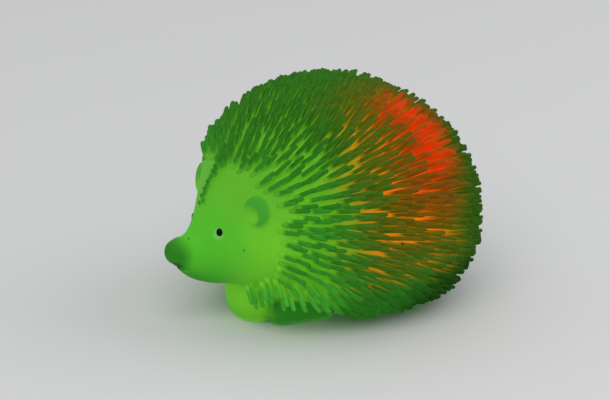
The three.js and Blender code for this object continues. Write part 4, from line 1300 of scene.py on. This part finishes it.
def makeSpines():
    rng = random.Random(coat["seed"])
    store = newStore()
    facingStart, facingRange = coat["backFacing"]
    for point, normal in spineRoots(rng):
        upright = clipped((normal.z - facingStart) / facingRange)
        sweep = coat["sweepSide"] + (coat["sweepTop"] - coat["sweepSide"]) * upright
        hanging = clipped((coat["hangTop"] - point.z) / coat["hangRise"])
        hanging *= clipped((coat["hangBackX"] - point.x) / coat["hangRun"])
        lean = sweep * math.acos(min(max(normal.x, -1.0), 1.0)) * (1 - coat["hang"] * hanging)
        length = spineLengthAt(point) * (1 + rng.uniform(-1, 1) * coat["lengthJitter"])
        length *= 1 - (1 - coat["backShare"]) * upright
        addSpine(store, point, normal, length, lean, (coat["rootWidth"], coat["tipWidth"]), rng)
    return meshFromStore("spineCoat", store)


def makeBrow():
    # a line of stubs runs down the forehead from the coat's peak
    rng = random.Random(coat["seed"] + 1)
    store = newStore()
    widths = (brow["width"] * brow["rootShare"], brow["width"])
    for k in range(brow["count"]):
        share = k / (brow["count"] - 1)
        x = brow["frontX"] + (brow["backX"] - brow["frontX"]) * share
        place = placeAtX(x)
        length = brow["length"] + (brow["backLength"] - brow["length"]) * share
        if share > brow["wideFromShare"]:
            offsets = (-1, 0, 1)
        else:
            offsets = (-brow["zigzag"] if k % 2 else brow["zigzag"],)
        for offset in offsets:
            spread = (offset + rng.uniform(-brow["jitter"], brow["jitter"])) * brow["spread"]
            angle = spread / max(sectionAt(place)[3], brow["leastHalfWidth"])
            point, normal = skinPoint(place, angle), skinNormal(place, angle)
            addSpine(store, point, normal, length, brow["lean"], widths, rng)
    return meshFromStore("browStubs", store)


spineFinish = {
    "shader": {"Roughness": 0.6, "Specular IOR Level": 0.06, "Emission Strength": litSet["glow"]},
    "grain": {"Grain Scale": 1400.0, "Mottle Scale": 240.0},
    # how far up a spine its dim end starts and is full, and how much later it starts near the face
    "dimRamp": (-0.05, 0.26),
    "dimLater": 0.14,
    "faceEnds": (-0.040, 0.005),
    # light from the lamps runs along the flanks of each spine, and fades towards its tip
    "flankCentre": (0.004, 0.0, 0.040),
    "flankFacing": (0.62, 0.0),
    "flankFade": (1.1, 0.25),
    "flankShare": 0.85,
    # some spines are darker than others
    "darkRamp": (0.45, 1.0),
    "darkShare": 0.35,
    "darkColor": srgb(26, 84, 14),
    "mottleRamp": (0.35, 0.7),
    "mottleShare": 0.14,
    "mottleColor": srgb(24, 96, 16),
    "bump": (0.1, 0.0002),
}


def makeSpineMaterial():
    values = spineFinish
    material, tree, shader, vector = newMaterial("spineRubber", values["shader"])
    glow = placeGroup(tree, glowGroup, vector)
    wall, tip = glow.outputs["Wall Color"], glow.outputs["Tip Color"]
    grain = placeGroup(tree, grainGroup, vector, values["grain"])
    tipShare = addNode(tree, "ShaderNodeAttribute", attribute_name="tipShare").outputs["Fac"]
    tone = addNode(tree, "ShaderNodeAttribute", attribute_name="tone").outputs["Fac"]
    fromFace = rampMask(tree, splitVector(tree, vector)["X"], *values["faceEnds"])
    later = mathNode(tree, "MULTIPLY_ADD", fromFace, values["dimLater"], -values["dimLater"])
    dim = rampMask(tree, mathNode(tree, "ADD", tipShare, later), *values["dimRamp"])
    color = mixColor(tree, dim, wall, tip)
    outward = vectorNode(tree, "NORMALIZE", vectorNode(tree, "SUBTRACT", vector, values["flankCentre"]))
    facing = vectorNode(tree, "DOT_PRODUCT", outward, vector.node.outputs["Normal"])
    flank = rampMask(tree, facing, *values["flankFacing"])
    fade = rampMask(tree, tipShare, *values["flankFade"])
    color = tintColor(tree, mathNode(tree, "MULTIPLY", flank, fade), values["flankShare"], color, wall)
    dark = rampMask(tree, tone, *values["darkRamp"])
    color = tintColor(tree, dark, values["darkShare"], color, values["darkColor"])
    mottle = rampMask(tree, grain.outputs["Mottle"], *values["mottleRamp"])
    color = tintColor(tree, mottle, values["mottleShare"], color, values["mottleColor"])
    specks = placeGroup(tree, speckGroup, vector)
    color = mixColor(tree, specks.outputs["Speck"], color, speckSet["color"])
    lightRubber(tree, shader, color)
    bumpFrom(tree, shader, grain.outputs["Height"], *values["bump"])
    return material


spineRubber = makeSpineMaterial()
spineCoat = makeSpines()
browStubs = makeBrow()
for piece in (spineCoat, browStubs):
    piece.data.materials.append(spineRubber)
    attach(piece, "hedgehog")
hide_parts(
    "spine_coat_front_left",
    "spine_coat_front_right",
    "spine_coat_rear_left",
    "spine_coat_rear_right",
)
facesEach = len(coat["ringShares"]) * coat["sides"] + 2
print("spines grown:", len(spineCoat.data.polygons) // facesEach)


# Eyes

eyeFinish = {
    "shader": {"Roughness": 0.16, "Specular IOR Level": 0.08},
    "grain": {"Grain Scale": 2600.0, "Mottle Scale": 700.0},
    "color": srgb(2, 4, 4),
    "mottleColor": srgb(9, 11, 11),
}


def makeEye(name, side):
    point, normal = surfaceFrame(face["eyeSetback"], face["eyeHeight"], side)
    upward = (Vector((0, 0, 1)) - normal * normal.z).normalized()
    across = upward.cross(normal)
    wide, deep, tall = face["eyeRadii"]
    centre = point + normal * (face["eyeProud"] - deep)
    mesh = roundedLump(name, (wide, tall, deep), centre, (across, upward, normal))
    mesh.shade_smooth()
    return linkMesh(name, mesh)


def makeEyeMaterial():
    material, tree, shader, vector = newMaterial("eyeBead", eyeFinish["shader"])
    grain = placeGroup(tree, grainGroup, vector, eyeFinish["grain"])
    color = mixColor(tree, grain.outputs["Mottle"], eyeFinish["color"], eyeFinish["mottleColor"])
    tree.links.new(color, shader.inputs["Base Color"])
    return material


eyeBead = makeEyeMaterial()
for node, side in (("eye_left", -1), ("eye_right", 1)):
    eye = makeEye("bead_" + node, side)
    eye.data.materials.append(eyeBead)
    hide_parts(node)
    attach(eye, "hedgehog")
print("eyes set")


# Screws, with the cross recesses that the plain solids lack

screwSet = {
    "sides": 32,
    # the head's outline from its face inwards, as shares of its radius and height
    "headShares": ((0.60, 0.0), (0.84, 0.07), (0.96, 0.22), (1.0, 0.45), (1.0, 1.0)),
    "point": 0.0006,
    "pointShare": 0.4,
    # the recess as shares of the head's radius and height, and how far it narrows towards its floor
    "recessReachShare": 0.62,
    "recessWidthShare": 0.13,
    "recessDepthShare": 0.5,
    "recessFloorShare": 0.6,
    "turn": math.radians(37),
    "sharpEdge": math.radians(35),
}

screwKinds = {
    "base_screw": {"shaft": 0.0008, "headHeight": 0.0012, "headUp": False},
    "door_screw": {"shaft": 0.0007, "headHeight": 0.0007, "headUp": False},
    "board_screw": {"shaft": 0.0007, "headHeight": 0.0010, "headUp": True},
}


def crossRing(reach, width, z):
    # the outline of a cross, turned four times by a right angle
    arm = ((reach, -width), (reach, width), (width, width))
    turns = ((1, 0), (0, 1), (-1, 0), (0, -1))
    return [(x * c - y * s, x * s + y * c, z) for c, s in turns for x, y in arm]


def makeScrewMesh(kind, radius, length):
    # made head down, with the middle of its face at the origin
    head = kind["headHeight"]
    shaft = kind["shaft"]
    profile = [(radius * r, head * h) for r, h in screwSet["headShares"]]
    profile += [(shaft, head), (shaft, length - screwSet["point"]), (shaft * screwSet["pointShare"], length)]
    screw = linkMesh("screw", turnedMesh("screw", profile, 0, screwSet["sides"]))
    reach = radius * screwSet["recessReachShare"]
    width = radius * screwSet["recessWidthShare"]
    depth = head * screwSet["recessDepthShare"]
    narrow = screwSet["recessFloorShare"]
    rings = [crossRing(reach, width, -depth), crossRing(reach * narrow, width * narrow, depth)]
    cutAway(screw, linkMesh("recess", loftMesh("recess", rings)))
    mesh = screw.data
    bpy.data.objects.remove(screw)
    mesh.shade_smooth()
    mesh.set_sharp_from_angle(angle=screwSet["sharpEdge"])
    return mesh


def makeScrews(finish):
    made = 0
    for name, kind in screwKinds.items():
        nodes = [node for node in frame["nodes"] if node.startswith(name)]
        low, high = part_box(nodes[0])
        pattern = makeScrewMesh(kind, (high[0] - low[0]) / 2, high[2] - low[2])
        pattern.materials.append(finish)
        for number, node in enumerate(nodes):
            low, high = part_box(node)
            middle = ((low[0] + high[0]) / 2, (low[1] + high[1]) / 2, high[2] if kind["headUp"] else low[2])
            flip = Matrix.Rotation(math.pi if kind["headUp"] else 0, 4, "X")
            turn = Matrix.Rotation(number * screwSet["turn"], 4, "Z")
            mesh = pattern.copy()
            mesh.transform(Matrix.Translation(middle) @ flip @ turn)
            screw = linkMesh("steel_" + node, mesh)
            mesh.name = screw.name
            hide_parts(node)
            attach(screw, node if node in frame["bodies"] else "hedgehog")
            made += 1
        bpy.data.meshes.remove(pattern)
    return made


# Finishes of the light module, which keeps its own solids

plasticSet = {
    "shader": {"Specular IOR Level": 0.45},
    "patchShare": 0.35,
    "scratchShare": 0.3,
    "patchRoughness": 0.14,
    "bumpHeight": 0.0001,
}

metalSet = {
    "shader": {"Metallic": 1.0},
    "scuffs": {"Scratch Scale": 900.0, "Patch Scale": 400.0},
    "grain": {"Grain Scale": 5200.0, "Mottle Scale": 500.0},
    "scratchRoughness": 0.2,
    "bump": (0.1, 0.0001),
}

lensSet = {
    "shader": {"Roughness": 0.12, "Transmission Weight": 0.35, "IOR": 1.5, "Emission Strength": 0.8},
    "grain": {"Grain Scale": 900.0, "Mottle Scale": 320.0},
    "bump": (0.05, 0.0001),
}

domeSet = {
    "shader": {"Transmission Weight": 0.45, "IOR": 1.46},
    "grain": {"Grain Scale": 2400.0, "Mottle Scale": 90.0},
    "color": srgb(228, 236, 230),
    "mottleColor": srgb(242, 244, 240),
    "roughness": 0.42,
    "mottleRoughness": 0.15,
    "bump": (0.3, 0.0001),
}

boardSet = {
    "shader": {"Roughness": 0.32},
    "tracks": {
        "Scale": 95.0, "Mortar Size": 0.03, "Mortar Smooth": 0.2, "Brick Width": 0.7, "Row Height": 0.22,
    },
    "grain": {"Grain Scale": 3000.0, "Mottle Scale": 200.0},
    "maskColor": srgb(22, 92, 50),
    "trackColor": srgb(52, 128, 72),
    "mottleColor": srgb(12, 64, 36),
    "mottleShare": 0.3,
    "bump": (0.4, 0.00006),
}


def makePlastic(name, color, dirt, roughness, grainDepth):
    material, tree, shader, vector = newMaterial(name, plasticSet["shader"])
    grain = placeGroup(tree, grainGroup, vector)
    scuffs = placeGroup(tree, scuffGroup, vector)
    patches = scuffs.outputs["Patches"]
    shade = tintColor(tree, patches, plasticSet["patchShare"], color, dirt)
    shade = tintColor(tree, scuffs.outputs["Scratches"], plasticSet["scratchShare"], shade, dirt)
    tree.links.new(shade, shader.inputs["Base Color"])
    rough = mathNode(tree, "MULTIPLY_ADD", patches, plasticSet["patchRoughness"], roughness)
    tree.links.new(rough, shader.inputs["Roughness"])
    bumpFrom(tree, shader, grain.outputs["Height"], grainDepth, plasticSet["bumpHeight"])
    return material


def makeMetal(name, color, dull, roughness):
    material, tree, shader, vector = newMaterial(name, metalSet["shader"])
    scuffs = placeGroup(tree, scuffGroup, vector, metalSet["scuffs"])
    grain = placeGroup(tree, grainGroup, vector, metalSet["grain"])
    tree.links.new(mixColor(tree, scuffs.outputs["Patches"], color, dull), shader.inputs["Base Color"])
    rough = mathNode(
        tree, "MULTIPLY_ADD", scuffs.outputs["Scratches"], metalSet["scratchRoughness"], roughness
    )
    tree.links.new(rough, shader.inputs["Roughness"])
    bumpFrom(tree, shader, grain.outputs["Height"], *metalSet["bump"])
    return material


def makeLens(name, color, heart):
    material, tree, shader, vector = newMaterial(name, lensSet["shader"])
    grain = placeGroup(tree, grainGroup, vector, lensSet["grain"])
    shade = mixColor(tree, grain.outputs["Mottle"], color, heart)
    tree.links.new(shade, shader.inputs["Base Color"])
    tree.links.new(shade, shader.inputs["Emission Color"])
    bumpFrom(tree, shader, grain.outputs["Height"], *lensSet["bump"])
    return material


def makeDome(name):
    material, tree, shader, vector = newMaterial(name, domeSet["shader"])
    grain = placeGroup(tree, grainGroup, vector, domeSet["grain"])
    mottle = grain.outputs["Mottle"]
    shade = mixColor(tree, mottle, domeSet["color"], domeSet["mottleColor"])
    tree.links.new(shade, shader.inputs["Base Color"])
    rough = mathNode(tree, "MULTIPLY_ADD", mottle, domeSet["mottleRoughness"], domeSet["roughness"])
    tree.links.new(rough, shader.inputs["Roughness"])
    bumpFrom(tree, shader, grain.outputs["Height"], *domeSet["bump"])
    return material


def makeBoard(name):
    # solder mask over raised copper tracks
    material, tree, shader, vector = newMaterial(name, boardSet["shader"])
    tracks = textureNode(tree, "ShaderNodeTexBrick", vector, boardSet["tracks"]).outputs["Fac"]
    grain = placeGroup(tree, grainGroup, vector, boardSet["grain"])
    shade = mixColor(tree, tracks, boardSet["maskColor"], boardSet["trackColor"])
    shade = tintColor(tree, grain.outputs["Mottle"], boardSet["mottleShare"], shade, boardSet["mottleColor"])
    tree.links.new(shade, shader.inputs["Base Color"])
    bumpFrom(tree, shader, tracks, *boardSet["bump"])
    return material


# what makes each finish, then its colours and measures: plastic takes its colour, the dirt on it,
# roughness and depth of grain, metal its colour, dull patches and roughness, and a lens its two colours
finishKinds = {
    "housingPlastic": (makePlastic, srgb(232, 229, 218), srgb(190, 184, 168), 0.42, 0.25),
    "ringPlastic": (makePlastic, srgb(108, 110, 112), srgb(84, 86, 86), 0.5, 0.25),
    "switchPlastic": (makePlastic, srgb(26, 27, 30), srgb(58, 59, 62), 0.45, 0.25),
    "blackEpoxy": (makePlastic, srgb(18, 18, 20), srgb(40, 41, 44), 0.25, 0.1),
    "chipCeramic": (makePlastic, srgb(30, 32, 38), srgb(96, 98, 100), 0.35, 0.1),
    "wireRed": (makePlastic, srgb(178, 30, 24), srgb(120, 20, 18), 0.4, 0.1),
    "wireBlack": (makePlastic, srgb(22, 22, 24), srgb(50, 50, 52), 0.4, 0.1),
    "wirePale": (makePlastic, srgb(214, 210, 198), srgb(180, 174, 160), 0.4, 0.1),
    "screwSteel": (makeMetal, srgb(196, 198, 200), srgb(150, 150, 146), 0.3),
    "contactMetal": (makeMetal, srgb(206, 200, 184), srgb(166, 158, 140), 0.28),
    "cellSteel": (makeMetal, srgb(208, 208, 204), srgb(178, 176, 170), 0.16),
    "lensGreen": (makeLens, srgb(70, 214, 90), srgb(150, 255, 150)),
    "lensRed": (makeLens, srgb(224, 40, 24), srgb(255, 110, 70)),
    "lensWhite": (makeLens, srgb(200, 236, 240), srgb(240, 255, 255)),
    "frostedDome": (makeDome,),
    "boardLaminate": (makeBoard,),
}

finishOf = {
    "base_housing": "housingPlastic",
    "battery_door": "housingPlastic",
    "clamp_ring": "ringPlastic",
    "switch_slider": "switchPlastic",
    "switch_body": "contactMetal",
    "light_dome": "frostedDome",
    "circuit_board": "boardLaminate",
    "led_green": "lensGreen",
    "led_red": "lensRed",
    "led_white": "lensWhite",
    "controller_blob": "blackEpoxy",
    "contact_spring": "contactMetal",
    "contact_plate": "contactMetal",
    "wire_positive": "wireRed",
    "wire_negative": "wireBlack",
    "wire_switch_in": "wirePale",
    "wire_switch_out": "wirePale",
}
finishOf.update({name: "chipCeramic" for name in frame["nodes"] if name.startswith("resistor")})
finishOf.update({name: "cellSteel" for name in frame["nodes"] if name.startswith("button_cell")})
finishes = {name: maker(name, *values) for name, (maker, *values) in finishKinds.items()}
for name, finish in finishOf.items():
    for slot in frame["nodes"][name].material_slots:
        slot.material = finishes[finish]
print("light module finished:", len(finishOf), "pieces")
print("screws set:", makeScrews(finishes["screwSteel"]))
